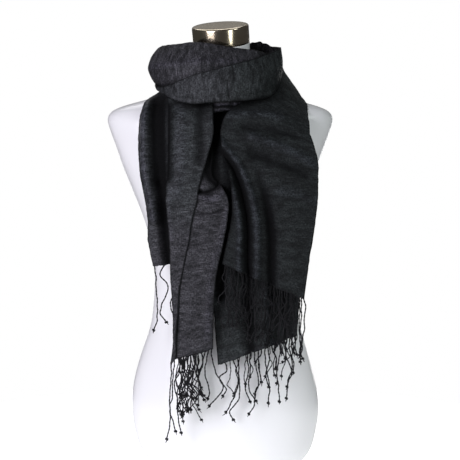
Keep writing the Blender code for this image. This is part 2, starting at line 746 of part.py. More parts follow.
def main():
    clear_scene()
    scarf = bpy.data.collections.new("wound_scarf")
    helpers = bpy.data.collections.new("helpers")
    bpy.context.scene.collection.children.link(scarf)
    bpy.context.scene.collection.children.link(helpers)

    torso = make_torso(scarf)
    make_neck_cap(scarf)

    first = Stretch(FIRST_WINDING, FIRST_FOLDS)
    second = Stretch(SECOND_WINDING, SECOND_FOLDS, outward=-1)
    under_nodes = (
        ("back_under", BAND_END, UNDER_END, 14, 1),
        ("left_outer", UNDER_END, 27.0, 18, 1),
    )
    back_under, left_outer = cloth_length(second, under_nodes, 9, scarf, [torso])
    back_half = Stretch(RIGHT_BACK, BACK_HALF_FOLDS)
    right_back, = cloth_length(back_half, (("right_back", 0.0, 11.0, 17, 1),), 12, scarf, [torso])
    first_nodes = (
        ("collar_upper", 0.0, COLLAR_END, 22, 2),
        ("back_wrap", COLLAR_END, BACK_END, 12, 2),
        ("right_front", BACK_END, 28.0, 24, 1),
    )
    collar_upper, back_wrap, right_front = cloth_length(
        first, first_nodes, 20, scarf, [torso, back_under, right_back]
    )
    cloth_length(
        second,
        (("collar_lower", 0.0, BAND_STOP, 24, 1),),
        8,
        scarf,
        [torso, collar_upper, left_outer, right_front],
    )
    left_inner, = cloth_length(
        Stretch(LEFT_INNER, LEFT_INNER_FOLDS),
        (("left_inner", 0.0, 11.0, 20, 1),),
        9,
        scarf,
        [torso, right_back, right_front],
    )
    left_front, = cloth_length(
        Stretch(LEFT_FRONT, LEFT_FRONT_FOLDS),
        (("left_front", 0.0, 13.0, 22, 1),),
        7,
        scarf,
        [torso, left_outer, right_back, left_inner],
    )
    cloth_length(
        Stretch(INNER_FOLD), (("collar_inner", 0.0, 5.0, 12, 1),), 3, scarf, [left_front, right_front]
    )
    hung = np.empty((0, 4))
    for cloth in (right_back, left_outer, left_inner, left_front, right_front):
        hung = make_fringe(cloth, scarf, helpers, hung)


main()
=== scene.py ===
# A wide raw-silk scarf with knotted fringe, wound once round the neck of a white limbless dress form.
# Every length in the dictionaries is in millimetres. The front faces -Y.

import math
import random

import bmesh
import bpy
import numpy as np
from mathutils import Matrix, Vector, noise
from mathutils.bvhtree import BVHTree


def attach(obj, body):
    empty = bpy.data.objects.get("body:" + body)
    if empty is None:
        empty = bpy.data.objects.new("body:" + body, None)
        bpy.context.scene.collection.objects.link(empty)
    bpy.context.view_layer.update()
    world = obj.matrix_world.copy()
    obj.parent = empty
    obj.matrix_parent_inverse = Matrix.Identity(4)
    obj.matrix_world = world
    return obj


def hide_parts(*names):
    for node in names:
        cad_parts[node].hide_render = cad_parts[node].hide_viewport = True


mm = 0.001

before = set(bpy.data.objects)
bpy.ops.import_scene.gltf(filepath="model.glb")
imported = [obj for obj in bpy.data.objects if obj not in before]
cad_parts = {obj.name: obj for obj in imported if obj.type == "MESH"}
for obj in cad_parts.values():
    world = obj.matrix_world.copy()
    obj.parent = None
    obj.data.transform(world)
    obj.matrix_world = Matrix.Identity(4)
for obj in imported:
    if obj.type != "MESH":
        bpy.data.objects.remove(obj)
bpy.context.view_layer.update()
print("frame loaded")

cloth = {
    "thickness": 1.3,
    "rimBevel": 0.35,
    "layerGap": 0.35,
    "reach": 30.0,          # how far out a layer looks for what lies under it
    "cell": 3.0,            # size of the mesh's squares
    "bowPower": 2.4,        # how flat the bow between a row's two edges is in its middle
    "easePasses": 90,       # how softly a layer lifts over the one below
    # the silk paints a fold's depth as shade and its height as a highlight
    "hollowAt": 16.0,       # a fold as deep as this is as dark as can be, and one as high as crestAt as light
    "crestAt": 9.0,
    "crumple": ((34, 120, 0.9), (15, 34, 0.45), (7, 11, 0.16)),   # size across, size along, height
    "hem": 4.9,             # the strip the fringe is knotted from
    "tuft": 4.5,            # size of its tufts
    "selvage": 5.0,         # width of the bound edge
    "edgeReach": 5.0,       # a selvage stands up and runs unevenly over this distance
    "edgeWaver": 1.1,
    "edgeLift": 1.4,
    "edgeSettle": 25.0,     # it does so less and less over this last stretch to an end
    "edgeNoise": ((15, 0.6, 0.2), (5, 0.5, 9.4)),   # size along, height, start
    "bunchReach": 22.0,
    "bunchNoise": ((24, 0.9, 3.3), (10, 0.45, 7.7)),
    "bunchFolds": (13.0, 30.0),   # size along and across
}

neck = {"axis": (-8.0, 0.0), "tiltForward": math.radians(9.5), "tiltSideways": math.radians(3.8)}


def around(angle, reach, height):
    # a point round the neck: 0 is the front, 90 the form's left
    turn = math.radians(angle)
    x, y = neck["axis"]
    return x + reach * math.sin(turn), y - reach * math.cos(turn), height


def roundNeck(*rows):
    # rows of cloth round the neck, from the angle, each edge's reach and height, and the bow between them
    return [
        (around(angle, reach, height), around(angle, lowReach, lowHeight), bow)
        for angle, reach, height, lowReach, lowHeight, bow in rows
    ]


def setSockets(node, values):
    # a value is a number, a vector, a colour, or the output that feeds the socket
    for name, value in values.items():
        socket = node.inputs[name]
        if isinstance(value, bpy.types.NodeSocket):
            socket.id_data.links.new(value, socket)
        elif socket.type == "RGBA":
            socket.default_value = (*value, 1.0)
        else:
            socket.default_value = value


def addNode(material, kind, sockets, **settings):
    node = material.node_tree.nodes.new(kind)
    for key, value in settings.items():
        setattr(node, key, value)
    setSockets(node, sockets)
    return node


def newMaterial(name, roughness, metallic=0.0):
    material = bpy.data.materials.new(name)
    material.use_nodes = True
    shader = material.node_tree.nodes["Principled BSDF"]
    setSockets(shader, {"Roughness": roughness, "Metallic": metallic})
    return material, shader


def noiseOn(material, source, scale, detail=2.0, rough=0.5):
    # noise stretched by a Mapping node: scale is repeats for each metre along the three directions
    mapping = addNode(material, "ShaderNodeMapping", {"Vector": source, "Scale": scale})
    texture = addNode(material, "ShaderNodeTexNoise", {
        "Vector": mapping.outputs["Vector"], "Scale": 1.0, "Detail": detail, "Roughness": rough,
    })
    return texture.outputs["Fac"]


def ramp(material, source, *stops):
    node = addNode(material, "ShaderNodeValToRGB", {"Fac": source})
    elements = node.color_ramp.elements
    while len(elements) < len(stops):
        elements.new(0.5)
    for element, (place, value) in zip(elements, stops):
        element.position = place
        element.color = (*value, 1.0) if hasattr(value, "__len__") else (value, value, value, 1.0)
    return node.outputs["Color"]


def blendColours(material, share, first, second, mode="MIX"):
    # the Mix node has sockets of one name for each kind of data, so those for colours go by number
    sockets = {0: share, 6: first, 7: second}
    return addNode(material, "ShaderNodeMix", sockets, data_type="RGBA", blend_type=mode).outputs[2]


def addBump(material, height, distance, strength, below=None):
    sockets = {"Strength": strength, "Distance": distance, "Height": height}
    if below is not None:
        sockets["Normal"] = below
    return addNode(material, "ShaderNodeBump", sockets).outputs["Normal"]


def readAttribute(material, name):
    return addNode(material, "ShaderNodeAttribute", {}, attribute_name=name).outputs["Fac"]


def readWeave(material):
    return addNode(material, "ShaderNodeUVMap", {}, uv_map="weave").outputs["UV"]


silk = {
    "dark": (0.0050, 0.0058, 0.0058),
    "light": (0.0640, 0.0640, 0.0690),
    "slub": (0.1150, 0.1130, 0.1230),
    "gap": (0.0018, 0.0020, 0.0020),
    "roughness": 0.45,
    "closedRoughness": (0.9, 0.9, 0.9),   # deep in a fold
    "ribs": 66.667,      # scale of the faint ribs of the weave, one every 4.7 mm
}


def silkColour(material, uv, mottle, slubs, openness):
    broad = noiseOn(material, uv, (22, 13, 1), 3.0)
    gaps = noiseOn(material, uv, (62, 420, 7), 2.0, 0.6)
    patches = noiseOn(material, uv, (48, 105, 3), 3.0, 0.6)
    colour = ramp(material, mottle, (0.40, silk["dark"]), (0.635, silk["light"]))
    tone = ramp(material, broad, (0.3, 0.62), (0.7, 1.15))
    colour = blendColours(material, 1.0, colour, tone, "MULTIPLY")
    patchy = ramp(material, patches, (0.36, 0.42), (0.64, 1.5))
    colour = blendColours(material, 1.0, colour, patchy, "MULTIPLY")
    colour = blendColours(material, ramp(material, slubs, (0.635, 0.0), (0.76, 0.75)), colour, silk["slub"])
    colour = blendColours(material, ramp(material, gaps, (0.59, 0.0), (0.68, 0.9)), colour, silk["gap"])
    # darker along the selvage: partly its denser bound threads, partly painted shade of the shadow line at
    # the cloth's edge
    selvageAndShade = ramp(material, readAttribute(material, "selvage"), (0.55, 0.0), (0.85, 0.95))
    colour = blendColours(material, selvageAndShade, colour, silk["gap"])
    # painted light: stretches darkened as painted shade get a green cast and stretches lightened as painted
    # light a violet cast, the tints of the right and left softboxes
    tone = readAttribute(material, "tone")
    cast = ramp(material, tone, (0.75, (0.89, 1.04, 0.99)), (1.0, (1.02, 0.985, 1.05)))
    colour = blendColours(material, 1.0, colour, cast, "MULTIPLY")
    # painted shade: the colour darkens where folds close up and where other cloth or the form hides the
    # surroundings, from the baked openness
    depth = ramp(material, openness, (0.20, 0.02), (0.60, 0.40), (0.92, 1.0))
    colour = blendColours(material, 1.0, colour, depth, "MULTIPLY")
    # painted highlight: the crests of the folds are lightened as if lit
    paintedHighlight = ramp(material, readAttribute(material, "crest"), (0.1, 1.0), (1.0, (2.0, 1.93, 2.2)))
    return blendColours(material, 1.0, colour, paintedHighlight, "MULTIPLY")


def silkBump(material, uv, mottle, slubs):
    waves = []
    for direction in ("X", "Y"):
        sockets = {"Vector": uv, "Scale": silk["ribs"], "Distortion": 1.2, "Detail": 1.0, "Detail Scale": 1.0}
        wave = addNode(material, "ShaderNodeTexWave", sockets, wave_type="BANDS", bands_direction=direction)
        waves.append(wave.outputs["Fac"])
    weave = blendColours(material, 0.5, waves[0], waves[1])
    warps = noiseOn(material, uv, (900, 70, 1), 1.0)
    normal = addBump(material, weave, 0.00010, 0.6)
    normal = addBump(material, warps, 0.00015, 0.5, normal)
    normal = addBump(material, slubs, 0.0008, 1.0, normal)
    return addBump(material, mottle, 0.0012, 1.0, normal)


def rawSilk():
    material, shader = newMaterial("raw_silk", silk["roughness"])
    uv = readWeave(material)
    wefts = noiseOn(material, uv, (240, 680, 1), 2.0, 0.7)
    crossings = noiseOn(material, uv, (640, 230, 4), 2.0, 0.7)
    mottle = blendColours(material, 0.5, wefts, crossings)
    slubs = noiseOn(material, uv, (60, 560, 1), 1.5)
    openness = readAttribute(material, "open")
    shine = ramp(material, mottle, (0.4, 0.56), (0.6, 0.38))
    closed = ramp(material, openness, (0.3, 1.0), (0.75, 0.0))
    setSockets(shader, {
        "Base Color": silkColour(material, uv, mottle, slubs, openness),
        "Roughness": blendColours(material, closed, shine, silk["closedRoughness"]),
        "Sheen Weight": 0.015,
        "Sheen Roughness": 0.4,
        "Sheen Tint": (0.80, 0.80, 0.92),
        "Specular IOR Level": 0.17,
        "Specular Tint": (0.93, 0.93, 1.0),
        "Normal": silkBump(material, uv, mottle, slubs),
    })
    return material


def twistedYarn():
    material, shader = newMaterial("twisted_silk_yarn", 0.6)
    uv = readWeave(material)
    fibres = noiseOn(material, uv, (900, 260, 1))
    tone = noiseOn(material, uv, (40, 24, 1))
    ground = ramp(material, tone, (0.35, (0.0020, 0.0020, 0.0024)), (0.7, (0.013, 0.0127, 0.0145)))
    mask = ramp(material, fibres, (0.45, 0.0), (0.75, 0.6))
    setSockets(shader, {
        "Base Color": blendColours(material, mask, ground, (0.024, 0.0235, 0.0265)),
        "Sheen Weight": 0.01,
        "Sheen Roughness": 0.5,
        "Specular IOR Level": 0.12,
        "Normal": addBump(material, fibres, 0.0003, 0.8),
    })
    return material


def glossPlastic():
    material, shader = newMaterial("form_gloss_plastic", 0.3)
    place = addNode(material, "ShaderNodeTexCoord", {}).outputs["Object"]
    cast = noiseOn(material, place, (6, 6, 6))
    scuffs = noiseOn(material, place, (34, 34, 20))
    peel = noiseOn(material, place, (420, 420, 420), 1.0)
    setSockets(shader, {
        "Base Color": ramp(material, cast, (0.3, (0.80, 0.80, 0.815)), (0.7, (0.84, 0.84, 0.852))),
        "Roughness": ramp(material, scuffs, (0.35, 0.28), (0.75, 0.35)),
        "Coat Weight": 0.35,
        "Coat Roughness": 0.12,
        "Normal": addBump(material, peel, 0.00006, 0.25),
    })
    return material


def polishedChrome():
    material, shader = newMaterial("polished_chrome", 0.12, 1.0)
    place = addNode(material, "ShaderNodeTexCoord", {}).outputs["Object"]
    tone = noiseOn(material, place, (30, 30, 90), 3.0)
    brushed = noiseOn(material, place, (40, 40, 2200))
    setSockets(shader, {
        "Base Color": ramp(material, tone, (0.3, (0.58, 0.49, 0.36)), (0.7, (0.66, 0.57, 0.44))),
        "Roughness": ramp(material, brushed, (0.3, 0.10), (0.8, 0.24)),
        "Normal": addBump(material, brushed, 0.00003, 0.3),
    })
    return material


silkMaterial = rawSilk()
yarnMaterial = twistedYarn()
plasticMaterial = glossPlastic()
chromeMaterial = polishedChrome()
print("materials made")


def finishPiece(bm, name, material, sharpFrom=None):
    # a smooth-shaded object, with edges kept sharp from an angle in degrees on
    mesh = bpy.data.meshes.new(name)
    bm.to_mesh(mesh)
    bm.free()
    mesh.shade_smooth()
    if sharpFrom is not None:
        mesh.set_sharp_from_angle(angle=math.radians(sharpFrom))
    mesh.materials.append(material)
    piece = bpy.data.objects.new(name, mesh)
    bpy.context.scene.collection.objects.link(piece)
    return piece


def smoothRows(rows, places):
    # the values between a table's rows, on a smooth curve through them
    last = len(rows) - 1
    places = np.clip(places, 0.0, last)
    i = np.minimum(places.astype(int), last - 1)
    t = (places - i)[:, None]
    before, start, end, after = (rows[np.clip(i + k, 0, last)] for k in (-1, 0, 1, 2))
    square = 2 * before - 5 * start + 4 * end - after
    cube = 3 * start - before - 3 * end + after
    bend = square * t ** 2 + cube * t ** 3
    return start + 0.5 * ((end - before) * t + bend)


def rowTable(piece):
    return np.array([(*first, *second, bow) for first, second, bow in piece["rows"]], float)


def plainSurface(piece, across, along):
    # points and outward directions; across and along are flat arrays of the same length
    rows = rowTable(piece)
    row = smoothRows(rows, along)
    first, second, bow = row[:, :3], row[:, 3:6], row[:, 6:]
    ahead, behind = smoothRows(rows, along + 0.05), smoothRows(rows, along - 0.05)
    down = ahead[:, :3] + ahead[:, 3:6] - behind[:, :3] - behind[:, 3:6]
    out = np.cross(down, second - first)
    out *= piece.get("outward", 1) / np.linalg.norm(out, axis=1)[:, None]
    arch = 1 - np.abs(2 * across - 1) ** cloth["bowPower"]
    return first + (second - first) * across[:, None] + out * bow * arch[:, None], out


def distanceToLine(points, line):
    # each point's distance to the line, and how far along the line its nearest place is
    nearest, place = np.full(len(points), 1e9), np.zeros(len(points))
    for number, (start, end) in enumerate(zip(line, line[1:])):
        span = end - start
        share = np.clip((points - start) @ span / max(span @ span, 1e-9), 0.0, 1.0)
        distance = np.linalg.norm(points - start - share[:, None] * span, axis=1)
        closer = distance < nearest
        nearest[closer] = distance[closer]
        place[closer] = (number + share[closer]) / (len(line) - 1)
    return nearest, place


def foldedRise(piece, points):
    # each fold is a path of (across, row), its half width and its height; two more values may sharpen it
    # and say over which share of the path it grows to full height
    rise, hollow = np.zeros(len(points)), np.zeros(len(points))
    for path, halfWidth, height, *more in piece["folds"]:
        power, growth = more or (2.0, 0.0)
        steps = np.linspace(0, 1, 5)[:-1]
        pairs = [
            (u0 + (u1 - u0) * s, v0 + (v1 - v0) * s)
            for (u0, v0), (u1, v1) in zip(path, path[1:]) for s in steps
        ] + [path[-1]]
        pairs = np.array(pairs, float)
        line = plainSurface(piece, pairs[:, 0], pairs[:, 1])[0]
        near, place = distanceToLine(points, line)
        grown = np.clip(place / growth, 0.0, 1.0) if growth else 1.0
        fold = height * np.exp(-((near / halfWidth) ** power)) * grown
        rise += fold
        # a fold's depth, which the silk paints as shade
        hollow = np.maximum(hollow, -fold / piece.get("hollowAt", cloth["hollowAt"]))
    return rise, np.clip(hollow, 0.0, 1.0)


def crumple(piece, places):
    # soft wrinkles: places are metric (across, along) in mm
    rise = np.zeros(len(places))
    for number, (wide, long, height) in enumerate(piece.get("crumple", cloth["crumple"])):
        shift = piece["seed"] * 7.3 + number * 31.7
        rise += height * np.array([
            noise.noise(Vector((u / wide + shift, v / long - shift, shift * 0.37))) for u, v in places
        ])
    return rise


def noiseAlong(places, shift, layers):
    # noise that changes only along the cloth
    return np.array([
        sum(height * noise.noise(Vector((v / size, shift, start))) for size, height, start in layers)
        for v in places[:, 1]
    ])


def unevenEdges(piece, places, widths, along):
    # how far each point near a selvage moves sideways and outwards; a bunched stretch wavers far more
    shift = piece["seed"] * 3.7
    waver = noiseAlong(places, shift, cloth["edgeNoise"])
    toEnd = np.minimum(places[:, 1], places[:, 1].max() - places[:, 1])
    settle = np.clip(toEnd / cloth["edgeSettle"], 0, 1)
    sideways, lift = np.zeros(len(places)), np.zeros(len(places))
    for way in (-1, 1):
        near = settle * np.exp(-((widths / 2 - way * places[:, 0]) / cloth["edgeReach"]) ** 2)
        sideways += way * near * waver * cloth["edgeWaver"]
        lift += near * cloth["edgeLift"] * (1 + 0.5 * waver)
    for first, last, amount in piece.get("bunched", ()):
        within = np.sin(math.pi * np.clip((along - first) / (last - first), 0, 1)) ** 1.5
        top = np.exp(-((widths / 2 + places[:, 0]) / cloth["bunchReach"]) ** 2)
        long, wide = cloth["bunchFolds"]
        folds = np.array([noise.noise(Vector((v / long, u / wide, shift + 5.1))) for u, v in places])
        sideways -= top * within * amount * (0.6 + noiseAlong(places, shift, cloth["bunchNoise"]))
        lift += within * amount * 0.8 * folds
    return sideways, lift


def evenPlaces(piece, cell):
    # places along a piece's rows at even steps of real length, and the length in mm
    samples = 400
    dense = np.linspace(*piece["span"], samples)
    middle = plainSurface(piece, np.full(samples, 0.5), dense)[0]
    length = np.concatenate([[0], np.cumsum(np.linalg.norm(np.diff(middle, axis=0), axis=1))])
    count = max(4, round(length[-1] / cell))
    steps = np.linspace(0, length[-1], count + 1)
    return np.interp(steps, length, dense), steps


def treeOver(objects):
    bpy.context.view_layer.update()
    graph = bpy.context.evaluated_depsgraph_get()
    corners, faces = [], []
    for obj in objects:
        evaluated = obj.evaluated_get(graph)
        mesh = evaluated.to_mesh()
        offset = len(corners)
        corners += [vertex.co / mm for vertex in mesh.vertices]
        faces += [[offset + index for index in face.vertices] for face in mesh.polygons]
        evaluated.to_mesh_clear()
    return BVHTree.FromPolygons(corners, faces)


def restOn(points, outs, beneath, share):
    # how far each point has to move out to lie on what is under it, eased over its neighbours;
    # the share is 1 for a row that lies on top and falls to 0 where the cloth dives under instead
    shape = points.shape[:2]
    tree = treeOver(beneath)
    required = np.zeros(shape)
    reach, gap = cloth["reach"], cloth["layerGap"]
    for j in range(shape[0]):
        for i in range(shape[1]):
            place, out = Vector(points[j, i]), Vector(outs[j, i])
            hit = tree.ray_cast(place + out * reach, -out, reach + gap)
            if hit[0] is not None:
                required[j, i] = (reach + gap - hit[3]) * share[j]
    rise = required.copy()
    for _ in range(cloth["easePasses"]):
        wide = np.pad(rise, 1, mode="edge")
        mean = (wide[:-2, 1:-1] + wide[2:, 1:-1] + wide[1:-1, :-2] + wide[1:-1, 2:]) / 4
        rise = np.maximum(required, mean)
    return rise


def foldedGrid(piece, along, lengths, widths, columns):
    # the piece's folded, crumpled surface as a grid of points, with its outward directions
    shape = (len(along), columns + 1)
    gridAlong, gridAcross = np.repeat(along, columns + 1), np.tile(np.linspace(0, 1, columns + 1), len(along))
    gridWidths = np.repeat(widths, columns + 1)
    plain, outs = plainSurface(piece, gridAcross, gridAlong)
    places = np.column_stack([(gridAcross - 0.5) * gridWidths, np.repeat(lengths, columns + 1)])
    rise, hollow = foldedRise(piece, plain)
    crest = np.clip(rise / piece.get("crestAt", cloth["crestAt"]), 0.0, 1.0)
    sideways, lift = unevenEdges(piece, places, gridWidths, gridAlong)
    rise = rise + crumple(piece, places) + lift
    row = smoothRows(rowTable(piece), gridAlong)
    side = (row[:, 3:6] - row[:, :3]) / gridWidths[:, None]
    points = plain + outs * rise[:, None] + side * sideways[:, None]
    hollow, crest = hollow.reshape(shape), crest.reshape(shape)
    # painted shade: a piece's first row, and its last one if it has no hem, gets the full fold shade
    hollow[0] = 1.0   # a cut end is tucked in, so it stays dark
    if not piece["hem"]:
        hollow[-1] = 1.0
    return points.reshape(*shape, 3), outs.reshape(*shape, 3), hollow, crest


def hemRows(piece, points, outs, width):
    # two more rows below the cloth's end, tufted where the strands are knotted
    down = points[-1] - points[-3]
    down /= np.linalg.norm(down, axis=1)[:, None]
    places = np.linspace(0, 1, points.shape[1]) * width / cloth["tuft"]
    tufts = np.array([noise.noise(Vector((u, piece["seed"] * 1.9, 0.7))) for u in places])[:, None]
    deep = down * cloth["hem"] * (1 + 0.35 * tufts)
    middle = points[-1] + outs[-1] * (0.7 + 0.5 * tufts) + deep * 0.45
    return np.array([middle, points[-1] + outs[-1] * 0.2 + deep])


def clothObject(name, piece, points, lengths, widths, marks):
    # a grid set to the points, with its UV map and the marks that the silk's material reads, then thickened
    rowCount, columns = points.shape[0] - 1, points.shape[1] - 1
    bm = bmesh.new()
    uvLayer = bm.loops.layers.uv.new("weave")
    bmesh.ops.create_grid(bm, x_segments=columns, y_segments=rowCount, size=1.0)
    layers = {mark: bm.verts.layers.float.new(mark) for mark in marks}
    cells = {v: (round((v.co.x + 1) / 2 * columns), round((v.co.y + 1) / 2 * rowCount)) for v in bm.verts}
    for vertex, (i, j) in cells.items():
        vertex.co = Vector(points[j, i]) * mm
        for mark, values in marks.items():
            vertex[layers[mark]] = values[j, i]
    for face in bm.faces:
        for loop in face.loops:
            i, j = cells[loop.vert]
            loop[uvLayer].uv = ((i / columns - 0.5) * widths[j] * mm, lengths[j] * mm)
    if piece.get("outward", 1) > 0:
        bmesh.ops.reverse_faces(bm, faces=bm.faces)
    obj = finishPiece(bm, name, silkMaterial)
    wall = obj.modifiers.new("wall", "SOLIDIFY")
    wall.thickness = cloth["thickness"] * mm
    wall.offset = 1.0
    rim = obj.modifiers.new("rim", "BEVEL")
    rim.width = cloth["rimBevel"] * mm
    rim.segments = 2
    rim.limit_method = "ANGLE"
    rim.angle_limit = math.radians(60)
    return obj


def layCloth(name, piece, beneath):
    # one piece of cloth laid over what is under it; it comes back with its last row and that row's way down
    cell = piece.get("cell", cloth["cell"])
    along, lengths = evenPlaces(piece, cell)
    row = smoothRows(rowTable(piece), along)
    widths = np.linalg.norm(row[:, 3:6] - row[:, :3], axis=1)
    columns = max(3, round(float(widths.max()) / cell))
    points, outs, hollow, crest = foldedGrid(piece, along, lengths, widths, columns)
    onTop = np.ones(len(along))
    if "dives" in piece:
        first, last = piece["dives"]
        onTop = np.clip((last - along) / (last - first), 0.0, 1.0)
    points = points + outs * restOn(points, outs, beneath, onTop)[:, :, None]
    if piece["hem"]:
        points = np.concatenate([points, hemRows(piece, points, outs, widths[-1])])
        lengths = np.append(lengths, lengths[-1] + cloth["hem"] * np.array([0.5, 1.0]))
        along, widths = (np.append(values, [values[-1]] * 2) for values in (along, widths))
        hollow, crest = (np.vstack([values, values[-1:], values[-1:]]) for values in (hollow, crest))
    fromSide = np.minimum(np.arange(columns + 1), columns - np.arange(columns + 1)) / columns
    # painted light and shade along the piece: below 1 darkens a stretch as if shaded, above 1 lightens it as
    # if lit
    tone = np.interp(along, *zip(*piece.get("paintedLightAndShade", ((0.0, 1.0),))))
    marks = {
        "selvage": np.maximum(0.0, 1 - fromSide * widths[:, None] / cloth["selvage"]),
        "hollow": hollow,
        "crest": crest,
        "tone": np.repeat(tone[:, None], columns + 1, axis=1),
    }
    obj = clothObject(name, piece, points, lengths, widths, marks)
    print(f"  {name}: {len(points) - 1} rows, {columns} columns, {widths.mean():.0f} x {lengths[-1]:.0f} mm")
    return obj, (points[-1], points[-1] - points[-2])


form = {
    "segments": 96,
    "rings": 90,
    "neckFoot": 690.0,   # from here up the neck leans
    "neckTop": 764.0,
    "rimBevel": 1.2,
    "rimAngle": 50,      # an edge turned more sharply than this is a rim
    # height, half width, front, back, centre x
    "sections": (
        (0.0, 118, 66, 78, 7), (14.0, 134, 74, 90, 7), (38.0, 152, 84, 102, 7), (70.0, 162, 90, 110, 6),
        (105.0, 167, 93, 114, 6), (140.0, 166, 94, 112, 5), (180.0, 158, 93, 105, 4),
        (220.0, 147, 90, 95, 5), (262.0, 134, 87, 85, 6), (305.0, 126, 84, 78, 4),
        (350.0, 123, 83, 75, 3), (395.0, 125, 85, 76, 1), (440.0, 133, 93, 80, -1),
        (480.0, 146, 107, 85, -2), (515.0, 160, 115, 89, -2), (548.0, 172, 113, 92, -3),
        (580.0, 183, 105, 94, -3), (608.0, 193, 94, 93, -3), (630.0, 199, 83, 90, -3),
        (644.0, 192, 75, 85, -3), (653.0, 174, 69, 80, -3), (661.0, 147, 65, 75, -3),
        (670.0, 116, 61, 70, -2), (681.0, 90, 58, 66, -2), (696.0, 70, 55, 61, -1),
        (716.0, 57, 53, 55, -1), (740.0, 51, 53, 49, -1), (764.0, 50, 54, 46, -1),
    ),
}


def makeForm():
    rows = np.array(form["sections"], float)
    rings = form["rings"]
    bm = bmesh.new()
    bmesh.ops.create_uvsphere(bm, u_segments=form["segments"], v_segments=rings, radius=1.0)
    for vertex in bm.verts:
        ring = round(math.acos(max(-1.0, min(1.0, vertex.co.z))) / math.pi * rings)
        pole = ring in (0, rings)
        ring = min(max(ring, 1), rings - 1)
        share = (rings - 1 - ring) / (rings - 2)
        height, halfWidth, front, back, centre = smoothRows(rows, np.array([share * (len(rows) - 1)]))[0]
        turn = math.atan2(vertex.co.y, vertex.co.x)
        depth = back if vertex.co.y > 0 else front
        x = 0.0 if pole else halfWidth * math.cos(turn)
        y = 0.0 if pole else depth * math.sin(turn)
        neckShare = (height - form["neckFoot"]) / (form["neckTop"] - form["neckFoot"])
        neckShare = max(0.0, min(1.0, neckShare))
        lean = neckShare * (y * math.tan(neck["tiltForward"]) + x * math.tan(neck["tiltSideways"]))
        vertex.co = Vector((x + centre, y, height + lean)) * mm
    rimEdges = [
        edge for edge in bm.edges
        if len(edge.link_faces) == 2 and edge.calc_face_angle(0) > math.radians(form["rimAngle"])
    ]
    bmesh.ops.bevel(
        bm, geom=rimEdges, offset=form["rimBevel"] * mm, segments=3, profile=0.5, affect="EDGES", material=-1
    )
    return finishPiece(bm, "form_body", plasticMaterial, 60)


cap = {
    "sunk": 0.5,         # how far it goes down over the neck
    # radius and height of the turned profile, from the middle of the underside up and over the rim
    "profile": (
        (0.0, 0.0), (47.5, 0.0), (49.2, 0.5), (50.0, 1.8), (50.0, 2.6), (49.5, 3.2), (49.5, 4.0), (50.0, 4.6),
        (50.0, 28.6), (49.7, 30.3), (48.6, 31.7), (47.0, 32.3), (44.0, 32.4), (24.0, 32.5), (0.0, 32.5),
    ),
}


def makeCap():
    bm = bmesh.new()
    verts = [bm.verts.new((r * mm, 0, z * mm)) for r, z in cap["profile"]]
    edges = [bm.edges.new(pair) for pair in zip(verts, verts[1:])]
    bmesh.ops.spin(
        bm, geom=verts + edges, cent=(0, 0, 0), axis=(0, 0, 1), angle=2 * math.pi, steps=96, use_merge=True
    )
    bmesh.ops.remove_doubles(bm, verts=bm.verts, dist=1e-6)
    bmesh.ops.recalc_face_normals(bm, faces=bm.faces)
    _, _, front, back, centre = form["sections"][-1]
    seat = Vector((centre, (back - front) / 2, form["neckTop"] - cap["sunk"])) * mm
    turn = Matrix.Rotation(-neck["tiltSideways"], 4, "Y") @ Matrix.Rotation(neck["tiltForward"], 4, "X")
    bmesh.ops.transform(bm, matrix=Matrix.Translation(seat) @ turn, verts=bm.verts)
    return finishPiece(bm, "cap_turned", chromeMaterial, 35)


formBody = makeForm()
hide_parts("form_torso")
capTurned = makeCap()
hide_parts("neck_cap")
print("dress form made")


rightBack = {
    "rows": (
        ((-30, -80, 652), (96, -66, 640), 2), ((-34, -94, 628), (118, -76, 620), 3),
        ((-33, -107, 594), (128, -84, 590), 3), ((-31, -115, 556), (133, -89, 554), 3),
        ((-30, -117, 514), (136, -93, 514), 4), ((-28, -116, 470), (137, -96, 470), 5),
        ((-26, -113, 428), (137, -97, 430), 6), ((-23, -112, 388), (135.5, -98, 394), 6),
        ((-18, -111, 350), (136, -98, 362), 6), ((-14.5, -110, 309), (134.5, -98, 330), 6),
        ((-11, -109, 263), (132.5, -98, 298), 6), ((-7, -108, 215), (130.5, -98, 266), 6),
    ),
    "folds": (
        (((0.1, 0.5), (0.12, 3.0), (0.12, 6.0), (0.1, 8.5)), 9, -6),
        (((0.35, 4.0), (0.4, 7.0), (0.42, 11.0)), 9, -5),
        (((0.6, 5.0), (0.62, 8.0), (0.66, 11.0)), 8, 4),
        (((0.8, 6.0), (0.82, 9.0), (0.86, 11.0)), 7, -4),
    ),
    "span": (0.0, 11.0),
    "hem": True,
    "seed": 2,
    "flat": (0.158, 0.420),
    "hollowAt": 6.0,
    # painted shade, deepest on the stretch that the fringe hangs over
    "paintedLightAndShade": ((0.0, 0.8), (8.5, 0.68), (10.4, 0.68), (11.0, 0.8)),
}

